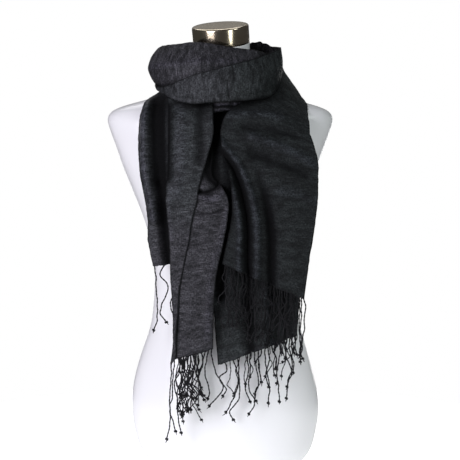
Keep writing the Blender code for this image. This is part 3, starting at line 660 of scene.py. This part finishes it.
secondEnd = {   # the second winding: behind the neck, then over the left shoulder to the short hem
    "rows": (
        *roundNeck(
            (-74, 112, 693, 111, 688, 1), (-58, 117, 690, 115, 681, 2), (-40, 121, 694, 116, 670, 4),
            (-22, 121, 708, 118, 662, 6), (-5, 118, 718, 119, 664, 8), (12, 114, 727, 119, 666, 9),
            (30, 110, 735, 118, 668, 9), (48, 106, 743, 116, 672, 8), (65, 107, 750, 113, 686, 6),
            (82, 110, 756, 110, 707, 4), (102, 98, 758, 100, 722, 2), (124, 86, 760, 92, 708, 2),
            (145, 80, 762, 93, 690, 2), (166, 74, 768, 92, 682, 2), (187, 73, 771, 94, 674, 2),
            (208, 74, 758, 98, 666, 2),
        ),
        (around(228, 75, 728), (-94, 66, 665), 2), ((-68, 36, 706), (-112, 38, 669), 2),
        ((-73, 4, 698), (-122, 2, 669), 2), ((-75, -30, 686), (-130, -31, 662), 3),
        ((-72, -59, 663), (-137, -54, 646), 4), ((-68, -84, 631), (-141, -65, 617), 4),
        ((-65, -103, 592), (-141, -76, 576), 3), ((-62, -113, 555), (-138, -84, 537), 3),
        ((-60, -116, 512), (-131, -90, 497), 3), ((-60, -116, 470), (-126.5, -92, 463), 4),
        ((-60, -116, 430), (-126.5, -93, 426), 5), ((-60, -115, 395), (-119, -93, 386), 5),
    ),
    "folds": (
        (((0.86, 18.8), (0.86, 20.3), (0.85, 21.5), (0.84, 23.0), (0.8, 25.0)), 9, 12, 2.0, 0.3),
        (((0.5, 18.4), (0.54, 20.2), (0.54, 21.5), (0.57, 23.4)), 13, -17, 3.0, 0.4),
        (((0.58, 23.5), (0.56, 25.0), (0.5, 27.0)), 10, -11),
        (((0.95, 24.6), (0.7, 24.5), (0.5, 24.7)), 3, -1.6),
        (((0.3, 11.0), (0.32, 13.0), (0.35, 15.0), (0.3, 17.5)), 7, -3),
        (((0.65, 11.0), (0.65, 13.0), (0.65, 15.0), (0.6, 17.5)), 8, 3),
        (((0.0, 9.4), (0.3, 10.2)), 6, 3),
    ),
    "outward": -1,
    "span": (10.0, 27.0),
    "hem": True,
    "seed": 3,
    "hollowAt": 11.0,
    "crestAt": 20.0,
    "paintedLightAndShade": ((16.0, 1.0), (20.0, 0.86), (24.5, 0.9), (27.0, 1.0)),
    "bunched": ((9.9, 12.0, 8.0), (13.2, 16.5, 2.5)),
    "flat": (0.072, 0.620),
}

lowerBand = dict(
    secondEnd, span=(0.0, 9.99), hem=False, seed=5, flat=(0.047, 0.380), bunched=(), hollowAt=3.0,
    cell=1.8, paintedLightAndShade=((4.7, 0.89), (5.2, 0.81), (8.5, 0.76)), dives=(8.4, 9.5),
    folds=(
        (((0.40, 4.75), (0.69, 4.8), (0.91, 4.85)), 1.7, -1.6),
        (((0.03, 5.05), (0.43, 5.1)), 1.7, -1.4),
        (((0.05, 5.4), (0.9, 5.35)), 3.5, 0.9),
        (((0.95, 2.0), (0.93, 3.5), (0.93, 5.5), (0.95, 7.5)), 3.5, 2.0),
        (((0.0, 9.4), (0.3, 10.2)), 6, 3),
    ),
)

firstWinding = {   # round the neck, then over the right shoulder to the slanting hem
    "rows": (
        *roundNeck(
            (90, 90, 742, 90, 714, 2), (72, 91, 744, 97, 698, 5), (50, 87, 751, 104, 680, 9),
            (25, 78, 755, 107, 669, 12), (0, 73, 761, 108, 669, 13), (-25, 78, 765, 108, 671, 14),
            (-50, 88, 762, 107, 677, 14), (-72, 97, 759, 104, 685, 16), (-92, 101, 755, 102, 692, 18),
            (-115, 97, 758, 101, 698, 16), (-140, 93, 764, 103, 694, 12), (-165, 90, 769, 106, 681, 10),
            (-190, 91, 770, 111, 672, 10), (-212, 97, 764, 118, 664, 10),
        ),
        (around(-232, 106, 752), (98, 76, 660), 7), ((96, 44, 740), (128, 52, 662), 4),
        ((98, 13, 723), (142, 12, 664), 3), ((92, -25, 702), (146, -28, 651), 5),
        ((76, -58, 681), (148, -58, 638), 5), ((44, -83, 667), (150, -80, 624), 6),
        ((12, -101, 648), (151, -94, 608), 8), ((-1, -114, 622), (157, -103, 592), 8),
        ((-1, -121, 590), (163.5, -108, 565), 9), ((9, -125, 556), (165, -110, 536), 9),
        ((16, -127, 520), (164, -112, 507), 8), ((17.5, -127, 486), (162, -113, 476), 8),
        ((14, -126, 452), (157, -114, 440), 8), ((7, -125, 421), (149.5, -115, 390), 8),
        ((1.5, -124, 394), (142, -115, 331), 7),
    ),
    "folds": (
        (((0.0, 21.8), (0.12, 22.8), (0.2, 24.0), (0.29, 25.5), (0.38, 27.2), (0.41, 28.0)), 6, 8),
        (((0.0, 22.3), (0.08, 23.1), (0.14, 24.6), (0.24, 26.5), (0.32, 28.0)), 6, -12),
        (((0.0, 23.8), (0.04, 24.6), (0.09, 25.6), (0.14, 26.6), (0.2, 28.0)), 4.5, 7),
        (((0.30, 22.6), (0.36, 23.8), (0.42, 25.0), (0.51, 26.4), (0.6, 28.0)), 8, -12, 2.0, 0.6),
        (((0.34, 21.3), (0.56, 21.5), (0.81, 21.9), (1.0, 22.4)), 8, 5),
        (((0.3, 22.2), (0.55, 22.5), (0.85, 22.9)), 9, -5),
        (((0.06, 20.2), (0.28, 19.8), (0.59, 19.5)), 9, 4),
        (((0.25, 20.8), (0.5, 20.6), (0.8, 20.6)), 8, -4),
        (((0.55, 24.0), (0.8, 24.1), (1.0, 24.5)), 10, 3),
        (((0.3, 1.5), (0.35, 4.0), (0.45, 6.0), (0.55, 8.0)), 8, 2),
        (((0.2, 9.5), (0.25, 11.5), (0.3, 13.5), (0.35, 15.5)), 7, -4),
        (((0.5, 9.0), (0.5, 11.0), (0.5, 12.5), (0.48, 13.6)), 8, 4),
        (((0.75, 10.0), (0.75, 12.0), (0.75, 13.8)), 7, -4),
    ),
    "span": (0.0, 28.0),
    "hem": True,
    "seed": 1,
    "hollowAt": 11.0,
    "crestAt": 6.0,
    "bunched": ((7.6, 9.6, 2.5), (13.2, 15.0, 3.0)),
    # painted shade on the right front, which faces away from the key light
    "paintedLightAndShade": ((5.0, 1.02), (15.0, 0.85), (18.5, 0.65), (22.0, 0.56), (28.0, 0.61)),
    "flat": (0.100, 1.120),
}

leftInner = {   # the puckered layer beside the right end
    "rows": (
        ((-72, -106, 606), (-16, -109, 604), 2), ((-74, -113, 572), (-16, -116, 570), 2),
        ((-76, -118, 540), (-16, -121, 540), 2), ((-77, -122, 516), (2, -130, 520), 4),
        ((-78, -122, 494), (12.5, -132, 496), 5), ((-79, -122, 462), (10, -132, 464), 5),
        ((-79, -122, 428), (4, -131, 430), 5), ((-80, -122, 394), (-4.5, -130, 394), 5),
        ((-80, -121, 356), (-11, -128, 357), 5), ((-81, -120, 317), (-13.5, -126, 320), 5),
        ((-81, -118, 271), (-14.5, -124, 282), 5), ((-81, -116, 227), (-15, -122, 246), 5),
    ),
    "folds": (
        (((0.82, 0.0), (0.88, 1.2), (0.97, 2.6)), 9, -9),
        (((0.3, 3.1), (0.6, 3.35), (0.8, 3.1), (1.0, 2.6)), 4, -6),
        (((0.6, 3.75), (0.75, 3.8), (1.0, 3.3)), 6, 4),
        (((0.43, 4.6), (0.7, 4.62), (0.9, 4.4)), 2.6, -3),
        (((0.45, 3.62), (0.62, 3.65)), 5, 3),
        (((0.28, 6.4), (0.54, 6.4), (0.8, 6.2)), 1.8, -1.2),
        (((0.97, 4.6), (0.9, 7.0), (0.86, 10.5)), 7, 3),
    ),
    "span": (0.0, 11.0),
    "cell": 2.2,
    "hem": True,
    "seed": 7,
    "hollowAt": 7.0,
    "flat": (0.073, 0.380),
}

leftFront = {   # the front layer, its free selvage running down to the corner
    "rows": (
        ((-82, -52, 694), (-14, -76, 694), 4), ((-92, -66, 668), (-13.5, -94, 668), 6),
        ((-91.5, -86, 636), (-14, -110, 640), 8), ((-91, -100, 600), (-14, -119, 608), 8),
        ((-92, -110, 562), (-24, -126, 570), 7), ((-93.5, -117, 528), (-35.5, -129, 532), 5),
        ((-94.5, -120, 496), (-41.5, -129, 496), 4), ((-92, -122, 464), (-50, -129, 462), 4),
        ((-88.5, -123, 430), (-55.5, -128, 428), 3), ((-87.5, -123, 392), (-63, -127, 393), 2),
        ((-86, -122, 350), (-71.5, -125, 350), 1.5), ((-83, -121, 304), (-74.5, -124, 304), 1),
        ((-82, -120, 258), (-78, -122, 260), 0.5), ((-88, -119, 216), (-79, -120, 231), 0.5),
    ),
    "folds": (
        (((0.0, 1.4), (0.0, 3.0), (0.0, 4.8)), 8, -7),
        (((0.3, 1.5), (0.32, 3.5), (0.35, 5.5)), 14, 3),
        (((0.75, 1.0), (0.72, 2.5), (0.8, 4.0)), 9, -4),
        (((0.1, 5.0), (0.12, 8.0)), 6, 2),
        (((0.03, 5.85), (0.5, 5.8), (1.0, 5.85)), 1.6, 0.9),
        (((0.03, 5.7), (0.5, 5.65), (1.0, 5.7)), 1.6, -0.8),
        (((0.1, 3.0), (0.45, 3.1), (0.7, 2.8)), 5, 1.2),
    ),
    "span": (0.0, 13.0),
    "cell": 2.4,
    "hem": True,
    "seed": 9,
    "hollowAt": 7.0,
    "paintedLightAndShade": ((1.0, 0.79), (6.0, 0.85), (9.0, 1.1)),
    "crumple": ((30, 90, 0.7), (13, 30, 0.4), (7, 11, 0.14)),
    "flat": (0.044, 0.495),
}

innerFold = {   # the narrow folds under the collar's lower edge
    "rows": roundNeck(
        (-30, 108, 666, 109, 660, 1), (-20, 108, 666, 111, 653, 2), (-6, 108, 666, 112, 648, 3),
        (10, 108, 666, 112, 651, 3), (26, 108, 667, 111, 656, 2), (40, 107, 669, 109, 663, 1),
    ),
    "folds": (
        (((0.3, 0.4), (0.32, 2.5), (0.3, 4.6)), 1.8, 1.6),
        (((0.6, 0.4), (0.6, 2.5), (0.6, 4.6)), 1.3, -1.6),
        (((0.86, 0.8), (0.85, 2.5), (0.86, 4.2)), 1.6, 1.2),
    ),
    "span": (0.0, 5.0),
    "cell": 1.3,
    "hem": False,
    "seed": 11,
    "crestAt": 1.4,
    "hollowAt": 2.0,
    # painted light on the narrow folds
    "paintedLightAndShade": ((0.0, 1.9), (5.0, 1.9)),
    "crumple": ((14, 40, 0.5), (7, 11, 0.15)),
    "flat": (0.014, 0.130),
}

secondWinding, leftHem = layCloth("second_winding", secondEnd, [formBody])
rightBackHalf, rightBackHem = layCloth("right_end_back_half", rightBack, [formBody])
windingOne, rightHem = layCloth("first_winding", firstWinding, [formBody, secondWinding, rightBackHalf])
lowerCollar, _ = layCloth("lower_collar_band", lowerBand, [formBody, windingOne, secondWinding])
leftInnerLayer, leftInnerHem = layCloth(
    "left_end_inner_layer", leftInner, [formBody, rightBackHalf, windingOne]
)
leftFrontLayer, leftFrontHem = layCloth(
    "left_end_front_layer", leftFront, [formBody, secondWinding, rightBackHalf, leftInnerLayer]
)
collarFold, _ = layCloth("collar_inner_fold", innerFold, [leftFrontLayer, windingOne])
print("cloth laid")

shade = {
    "rays": 16,
    "range": 75.0,
    "start": 0.8,
    # share of the light that comes past something as far off as the range, and how it falls when nearer
    "farLight": (0.6, 1.5),
    "foldDepth": 0.85,
    "eases": 2,
}


def skyRays():
    # directions spread evenly over the half sphere in front of a surface
    turn = math.pi * (3 - math.sqrt(5))
    rays = []
    for k in range(shade["rays"]):
        height = math.sqrt(1 - (k + 0.5) / shade["rays"])
        flat = math.sqrt(1 - height * height)
        rays.append((flat * math.cos(turn * k), flat * math.sin(turn * k), height))
    return rays


def easeOverEdges(mesh, values):
    total, count = values.copy(), np.ones(len(values))
    for edge in mesh.edges:
        a, b = edge.vertices
        total[a] += values[b]
        total[b] += values[a]
        count[a] += 1
        count[b] += 1
    return total / count


def markOpenness(pieces, others):
    # how open each point is to its surroundings: 1 on a free flat, towards 0 deep in a fold; the silk paints
    # it as shade, a baked occlusion
    tree = treeOver(pieces + others)
    rays = skyRays()
    most, curve = shade["farLight"]
    for piece in pieces:
        mesh = piece.data
        values = np.zeros(len(mesh.vertices))
        for vertex in mesh.vertices:
            normal = vertex.normal
            side = normal.orthogonal().normalized()
            other = normal.cross(side)
            start = vertex.co / mm + normal * (cloth["thickness"] + shade["start"])
            free = 0.0
            for x, y, z in rays:
                hit = tree.ray_cast(start, side * x + other * y + normal * z, shade["range"])
                free += 1.0 if hit[0] is None else most * (hit[3] / shade["range"]) ** curve
            values[vertex.index] = free / len(rays)
        for _ in range(shade["eases"]):
            values = easeOverEdges(mesh, values)
        hollow, tone = np.zeros(len(values)), np.zeros(len(values))
        mesh.attributes["hollow"].data.foreach_get("value", hollow)
        mesh.attributes["tone"].data.foreach_get("value", tone)
        # painted shade and light: the occlusion is darkened further by each fold's hollow and scaled by the
        # piece's painted light and shade
        values = np.minimum(values * (1 - shade["foldDepth"] * hollow) * tone, 1.0)
        attribute = mesh.attributes.new("open", "FLOAT", "POINT")
        attribute.data.foreach_set("value", values.astype(np.float32))
        print(f"  {piece.name}: openness {values.min():.2f} to {values.max():.2f}")


silkPieces = [
    secondWinding, rightBackHalf, windingOne, lowerCollar, leftInnerLayer, leftFrontLayer, collarFold,
]
markOpenness(silkPieces, [formBody])

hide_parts("back_under", "left_outer")
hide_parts("right_back")
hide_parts("collar_upper", "back_wrap", "right_front")
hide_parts("collar_lower")
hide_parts("left_inner")
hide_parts("left_front")
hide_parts("collar_inner")


fringe = {
    "radius": 1.2,
    "fineRadius": 0.96,
    "gap": 0.2,
    "apart": 1.0,             # room along the hem between listed strands and loose ones
    "steps": 9,               # stretches of a yarn's smooth line
    "crossStep": 1.5,         # length of the steps in which yarns are kept from crossing
    "crossEases": 4,
    "forward": 40.0,          # most that a yarn hangs in front of others
    "fineForward": 4.5,
    "sides": 8,
    "girth": 7.0,
    "ring": 1.1,              # length of one step along a yarn
    "plies": (0.90, 0.14),    # the two-lobed section: mean radius and height of the lobes, as shares
    "twist": 6.5,             # the two plies change places over this length
    "wave": 0.35,             # small kinks left by the twist
    "waveFrom": 12.0,
    "kinks": (3.1, 3.7, 11.0),   # sizes of the kinks sideways and forward, and of their swelling
    "knotRoom": 9.0,          # what the knot and the tail take of the drop
    "knotWidth": 2.1,
    "knotLength": 3.6,
    "knotTurns": 2.1,
    "knotSteps": 25,
    "hemRoot": 3.2,           # how far down the hem a yarn starts
    # place along the hem, drop, and the sideways sway at each sixth of the drop
    "strands": {
        "right_back": (
            (0.08, 84, 5, -9, -2, -7, -20, -30), (0.185, 99, 6, 10, 8, 2, -6, -15),
            (0.265, 116, -1, 0, 1, -2, -17, -5), (0.41, 92, -1, 0, -2, -3, 3, 15),
            (0.46, 116, 1, 5, 7, 1, -1, -14), (0.505, 63, 0, 1, 2, 3, 5, 7),
            (0.545, 30, 0, -1, -4, -8, -12, -16), (0.59, 104, 0, 2, 5, 8, 7, 4),
            (0.67, 60, 2, 7, 9, 6, 4, 18), (0.775, 111, 1, -2, -5, -2, -1, 1),
            (0.84, 90, 1, 3, 9, 13, 7, 2), (0.907, 113, -1, 3, 4, -3, -4, -7),
            (0.98, 38, 0, -1, -1, -2, -3, -5),
        ),
        "left_outer": (
            (0.3, 105, 0, 2, -3, -2, 2, 0), (0.49, 98, 1, 3, 4, -1, 0, 12),
            (0.635, 107, -10, 4, 1, -7, -8, 8), (0.965, 119, 3, 3, 5, 5, 4, -4),
        ),
        "left_inner": (
            (0.09, 137, 3, -7, -2, -1, 1, 6), (0.61, 36, 1, 2, 1, 0, 1, 1), (0.7, 89, 3, 0, -5, -2, 1, 7),
            (0.8, 84, -3, -7, -12, -10, -6, 0), (0.89, 92, -3, -6, -6, -1, 1, -4),
            (0.965, 90, 0, 4, 8, 18, 25, 13),
        ),
        "left_front": ((0.15, 138, 0, -2, -3, -2, -4, -10), (0.8, 133, -2, -4, -4, -9, -3, 2)),
        "right_front": (
            (0.94, 119, 1, 0, 0, 2, 1, 3), (0.965, 112, 0, 0, -2, 1, -1, 4), (0.99, 105, 4, 1, 2, -2, -2, -8),
        ),
    },
    # count, first and last place, shortest and longest drop, curl, seed
    "loose": {
        "right_back": (10, 0.05, 0.96, 50, 96, 8, 3),
        "left_inner": (10, 0.13, 0.57, 74, 108, 11, 5),
        "right_front": (18, 0.03, 0.9, 84, 118, 7, 8),
    },
    # thinner yarns in front of those, in the same columns
    "fine": {
        "right_back": (9, 0.12, 0.94, 42, 88, 10, 21),
        "left_inner": (22, 0.08, 0.62, 62, 122, 18, 23),
        "right_front": (30, 0.02, 0.92, 52, 118, 17, 25),
    },
}


def looseStrands(count, first, last, shortest, longest, curl, seed):
    chance = random.Random(seed)
    rows = []
    for k in range(count):
        place = first + (last - first) * (k + chance.uniform(0.2, 0.8)) / count
        side = chance.choice((-1, 1))
        sways = [side * curl * chance.uniform(-0.3, 1.0) * (-1) ** (n // 2) * (n + 2) / 8 for n in range(6)]
        rows.append((place, chance.uniform(shortest, longest), *sways))
    return rows


def strandLine(root, strand):
    # the yarn's centre line down to its knot, as even steps
    drop, sways = strand[1], strand[2:]
    rows = [(sway, drop * (k + 1) / len(sways)) for k, sway in enumerate(sways)]
    rows = np.array([(0.0, 0.0), *rows])
    shares = np.linspace(0, 1 - fringe["knotRoom"] / drop, fringe["steps"] + 1)
    sway = smoothRows(rows, shares * (len(rows) - 1))
    return np.column_stack([root[0] + sway[:, 0], np.full(len(shares), root[1]), root[2] - sway[:, 1]])


def lineSteps(line):
    # each stretch of the line as short even steps
    stretches = []
    for start, end in zip(line, line[1:]):
        count = max(2, round(float(np.linalg.norm(end - start)) / fringe["crossStep"]))
        share = np.linspace(0, 1, count + 1)[:, None]
        stretches.append(start * (1 - share) + end * share)
    return stretches


def hungInFront(line, hung, limit):
    # moved softly forward, up to a limit, wherever the yarn crosses one that hangs already
    needed = np.zeros(len(line))
    clear = 2 * fringe["radius"] + fringe["gap"]
    for k, steps in enumerate(lineSteps(line)):
        if not len(hung):
            break
        apart = np.hypot(steps[:, None, 0] - hung[None, :, 0], steps[:, None, 2] - hung[None, :, 2])
        inside = np.sqrt(np.maximum(clear ** 2 - apart ** 2, 0.0))
        forward = np.where(apart < clear, steps[:, None, 1] - hung[None, :, 1] + inside, 0.0)
        need = max(float(forward.max()), 0.0)
        needed[k] = max(needed[k], need)
        needed[k + 1] = max(needed[k + 1], need)
    needed[0] = 0.0
    ease = needed.copy()
    for _ in range(fringe["crossEases"]):
        for k in range(1, len(ease)):
            after = ease[k + 1] if k + 1 < len(ease) else ease[k]
            ease[k] = max(needed[k], (ease[k - 1] + after) / 2)
    moved = line - np.column_stack([np.zeros(len(line)), np.minimum(ease, limit), np.zeros(len(line))])
    return moved, np.vstack([hung, *lineSteps(moved)])


def yarnPath(line, seed):
    # a fine path: the smooth line with small kinks, an overhand turn for the knot, and the tail
    chance = random.Random(seed)
    length = float(np.linalg.norm(np.diff(line, axis=0), axis=1).sum())
    count = max(12, round(length / fringe["ring"]))
    body = smoothRows(line, np.linspace(0, len(line) - 1, count + 1))
    s = np.linspace(0, length, count + 1)
    phase = chance.uniform(0, 6.28)
    kink = fringe["wave"] * np.clip(s / fringe["waveFrom"], 0, 1)
    sideways, forward, swelling = fringe["kinks"]
    body[:, 0] += kink * np.sin(s / sideways + phase) * (1 + 0.6 * np.sin(s / swelling))
    body[:, 1] += 0.5 * kink * np.cos(s / forward + phase)
    down = body[-1] - body[-4]
    down /= np.linalg.norm(down)
    side = np.cross(down, (0.3, 1.0, 0.2))
    side /= np.linalg.norm(side)
    other = np.cross(down, side)
    turns = np.linspace(0, fringe["knotTurns"] * 2 * math.pi, fringe["knotSteps"] + 1)[1:]
    coil = []
    for t in turns:
        wide = fringe["knotWidth"] * min(1.0, t / 1.2, turns[-1] - t + 0.25)
        along = down * (0.4 + fringe["knotLength"] * t / turns[-1])
        coil.append(body[-1] + along + (side * math.cos(t) + other * math.sin(t)) * wide)
    lean = side * chance.uniform(-0.5, 0.5) + other * chance.uniform(-0.3, 0.3)
    tail = [coil[-1] + (down + lean * k / 6) * k for k in range(1, round(chance.uniform(4, 7)))]
    return np.vstack([body, coil, tail]), len(body), len(coil), len(tail)


def yarnRadii(radius, body, coil, tail):
    # thicker at its root, where the hem's threads are gathered, and thinner to the end of the tail
    root = 1 + 0.6 * np.exp(-np.arange(body) / 2.5)
    return radius * np.concatenate([root, np.full(coil, 0.95), np.linspace(0.8, 0.45, tail)])


def yarnTube(bm, uvLayer, path, radii):
    # a two-lobed tube that turns about its path, made from a grid rolled up
    sides, rings = fringe["sides"], len(path) - 1
    tangents = np.gradient(path, axis=0)
    tangents /= np.linalg.norm(tangents, axis=1)[:, None]
    side = np.cross(tangents[0], (0.0, 1.0, 0.0))
    side /= np.linalg.norm(side)
    steps = np.concatenate([[0], np.cumsum(np.linalg.norm(np.diff(path, axis=0), axis=1))])
    places = np.zeros((rings + 1, sides + 1, 3))
    middle, lobe = fringe["plies"]
    for j, (centre, tangent, radius) in enumerate(zip(path, tangents, radii)):
        side = side - tangent * (side @ tangent)
        side /= np.linalg.norm(side)
        up = np.cross(tangent, side)
        for i in range(sides + 1):
            angle = 2 * math.pi * (i % sides) / sides
            ply = middle + lobe * math.cos(2 * angle - 2 * math.pi * steps[j] / fringe["twist"])
            places[j, i] = centre + (side * math.cos(angle) + up * math.sin(angle)) * radius * ply
    made = bmesh.ops.create_grid(bm, x_segments=sides, y_segments=rings, size=1.0)["verts"]
    cells = {v: (round((v.co.x + 1) / 2 * sides), round((v.co.y + 1) / 2 * rings)) for v in made}
    for vertex, (i, j) in cells.items():
        vertex.co = Vector(places[j, i]) * mm
    faces = {face for vertex in made for face in vertex.link_faces}
    for face in faces:
        for loop in face.loops:
            i, j = cells[loop.vert]
            loop[uvLayer].uv = (i / sides * fringe["girth"] * mm, steps[j] * mm)
    bmesh.ops.remove_doubles(bm, verts=made, dist=1e-7)


def hemStrands(key, width):
    # the strands of one hem: those listed, loose ones between them, then thinner ones
    strands = list(fringe["strands"][key])
    room = 2 * fringe["radius"] + fringe["apart"]
    if key in fringe["loose"]:
        for row in looseStrands(*fringe["loose"][key]):
            if min(abs(row[0] - other[0]) for other in strands) * width > room:
                strands.append(row)
    fine = looseStrands(*fringe["fine"][key]) if key in fringe["fine"] else []
    return strands, fine


def makeFringe(name, key, hemRow, hung, seed):
    hemPoints, hemDown = hemRow
    strands, fine = hemStrands(key, float(np.linalg.norm(hemPoints[-1] - hemPoints[0])))
    bm = bmesh.new()
    uvLayer = bm.loops.layers.uv.new("weave")
    down = hemDown / np.linalg.norm(hemDown, axis=1)[:, None]
    for number, strand in enumerate(strands + fine):
        place = np.array([strand[0] * (len(hemPoints) - 1)])
        upHem = smoothRows(down, place)[0] * (cloth["hem"] - fringe["hemRoot"])
        root = smoothRows(hemPoints, place)[0] - upHem - np.array((0.0, cloth["thickness"] / 2, 0.0))
        isFine = number >= len(strands)
        limit = fringe["fineForward"] if isFine else fringe["forward"]
        radius = fringe["fineRadius"] if isFine else fringe["radius"]
        line, hungNow = hungInFront(strandLine(root, strand), hung, limit)
        hung = hung if isFine else hungNow
        path, *counts = yarnPath(line, seed * 100 + number)
        yarnTube(bm, uvLayer, path, yarnRadii(radius, *counts))
    ends = [edge for edge in bm.edges if edge.is_boundary]
    bmesh.ops.holes_fill(bm, edges=ends, sides=fringe["sides"])
    bmesh.ops.recalc_face_normals(bm, faces=bm.faces)
    print(f"  {name}: {len(strands)} yarns and {len(fine)} thinner ones")
    return finishPiece(bm, name, yarnMaterial), hung


hung = np.empty((0, 3))
fringes = {}
for key, owner, hem, seed in (
    ("right_back", rightBackHalf, rightBackHem, 1),
    ("left_outer", secondWinding, leftHem, 2),
    ("left_inner", leftInnerLayer, leftInnerHem, 3),
    ("left_front", leftFrontLayer, leftFrontHem, 4),
    ("right_front", windingOne, rightHem, 5),
):
    yarns, hung = makeFringe(f"yarns_{key}", key, hem, hung, seed)
    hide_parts(f"fringe_{key}")
    fringes[owner.name] = yarns
print("fringe hung")


for piece, slot in (
    (formBody, "form_plastic"), (capTurned, "chrome"), (secondWinding, "silk"), (rightBackHalf, "silk"),
    (windingOne, "silk"), (lowerCollar, "silk"), (leftInnerLayer, "silk"), (leftFrontLayer, "silk"),
    (collarFold, "silk"), *((yarns, "silk") for yarns in fringes.values()),
):
    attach(piece, "root")


stage = {
    "floorRadius": 0.75,
    "floorGlow": (0.45, 1.0),   # what the floor gives off to the object, and to the camera
    "worldLight": 0.06,
}


def makeFloor():
    bm = bmesh.new()
    bmesh.ops.create_circle(bm, cap_ends=True, segments=96, radius=stage["floorRadius"])
    material, shader = newMaterial("white_floor", 0.9)
    seen = addNode(material, "ShaderNodeLightPath", {}).outputs["Is Camera Ray"]
    low, high = stage["floorGlow"]
    glow = addNode(material, "ShaderNodeMapRange", {"Value": seen, "To Min": low, "To Max": high})
    setSockets(shader, {
        "Base Color": (0.9, 0.9, 0.9),
        "Emission Color": (1.0, 1.0, 1.0),
        "Emission Strength": glow.outputs["Result"],
    })
    finishPiece(bm, "floor", material)


def makeStudioWorld():
    # white to the camera, and a faint cool light to everything else
    world = bpy.data.worlds.new("studio")
    bpy.context.scene.world = world
    world.use_nodes = True
    nodes = world.node_tree.nodes
    light, seen = nodes["Background"], nodes.new("ShaderNodeBackground")
    setSockets(light, {"Color": (0.97, 0.975, 1.0), "Strength": stage["worldLight"]})
    setSockets(seen, {"Color": (1.0, 1.0, 1.0), "Strength": 1.0})
    path, mix = nodes.new("ShaderNodeLightPath"), nodes.new("ShaderNodeMixShader")
    lit, plain = light.outputs["Background"], seen.outputs["Background"]
    setSockets(mix, {"Fac": path.outputs["Is Camera Ray"], 1: lit, 2: plain})
    setSockets(nodes["World Output"], {"Surface": mix.outputs["Shader"]})


# place, what it aims at, size, watts and colour
lights = {
    # two softboxes, 40 degrees to each side of the camera, each with a low strip that the chrome reflects
    "softbox_left": ((-1.62, -1.93, 1.15), (0, 0, 0.5), (1.3, 1.5), 62, (0.935, 0.915, 1.0)),
    "softbox_right": ((1.62, -1.93, 1.05), (0, 0, 0.5), (0.5, 1.5), 19, (0.93, 1.0, 0.99)),
    "strip_left": ((-1.62, -1.93, -0.45), (0, 0, 0.6), (1.3, 1.6), 9, (0.97, 0.95, 1.0)),
    "strip_right": ((1.66, -1.91, -0.45), (0, 0, 0.6), (0.45, 1.6), 3.4, (0.97, 1.0, 0.99)),
    "panel_behind": ((0.0, 2.2, 1.8), (0, 0, 0.8), (2.4, 0.9), 1.3, (1.0, 0.98, 0.93)),
    "above_back": ((-0.4, 1.7, 2.7), (0, 0, 0.5), (1.6, 1.2), 16, (1.0, 1.0, 1.0)),
    "edge_right": ((1.5, -0.7, 1.9), (0.15, 0, 0.62), (0.5, 0.5), 4, (0.95, 1.0, 1.0)),
    "fill_back": ((0.3, 2.7, 0.3), (0, 0, 0.4), (2.2, 1.0), 14, (1.0, 1.0, 1.0)),
}


def addLight(name, place, aim, size, watts, colour):
    data = bpy.data.lights.new(name, "AREA")
    data.shape = "RECTANGLE"
    data.size, data.size_y = size
    data.energy = watts
    data.color = colour
    light = bpy.data.objects.new(name, data)
    light.location = place
    light.rotation_euler = (Vector(aim) - Vector(place)).to_track_quat("-Z", "Y").to_euler()
    bpy.context.scene.collection.objects.link(light)


makeFloor()
makeStudioWorld()
for name, settings in lights.items():
    addLight(name, *settings)

view = {"target": (0.0142, 0.0, 0.434), "distance": 3.0, "elevation": 6.0, "lens": 131.9, "sensor": 36.0}
tilt = math.radians(view["elevation"])
target = Vector(view["target"])
cameraData = bpy.data.cameras.new("camera")
cameraData.lens = view["lens"]
cameraData.sensor_width = view["sensor"]
cameraData.dof.use_dof = False
camera = bpy.data.objects.new("camera", cameraData)
camera.location = target + Vector((0, -math.cos(tilt), math.sin(tilt))) * view["distance"]
camera.rotation_euler = (target - camera.location).to_track_quat("-Z", "Y").to_euler()
bpy.context.scene.collection.objects.link(camera)
bpy.context.scene.camera = camera
bpy.context.scene.view_settings.view_transform = "Standard"
print("stage, lights and camera set")
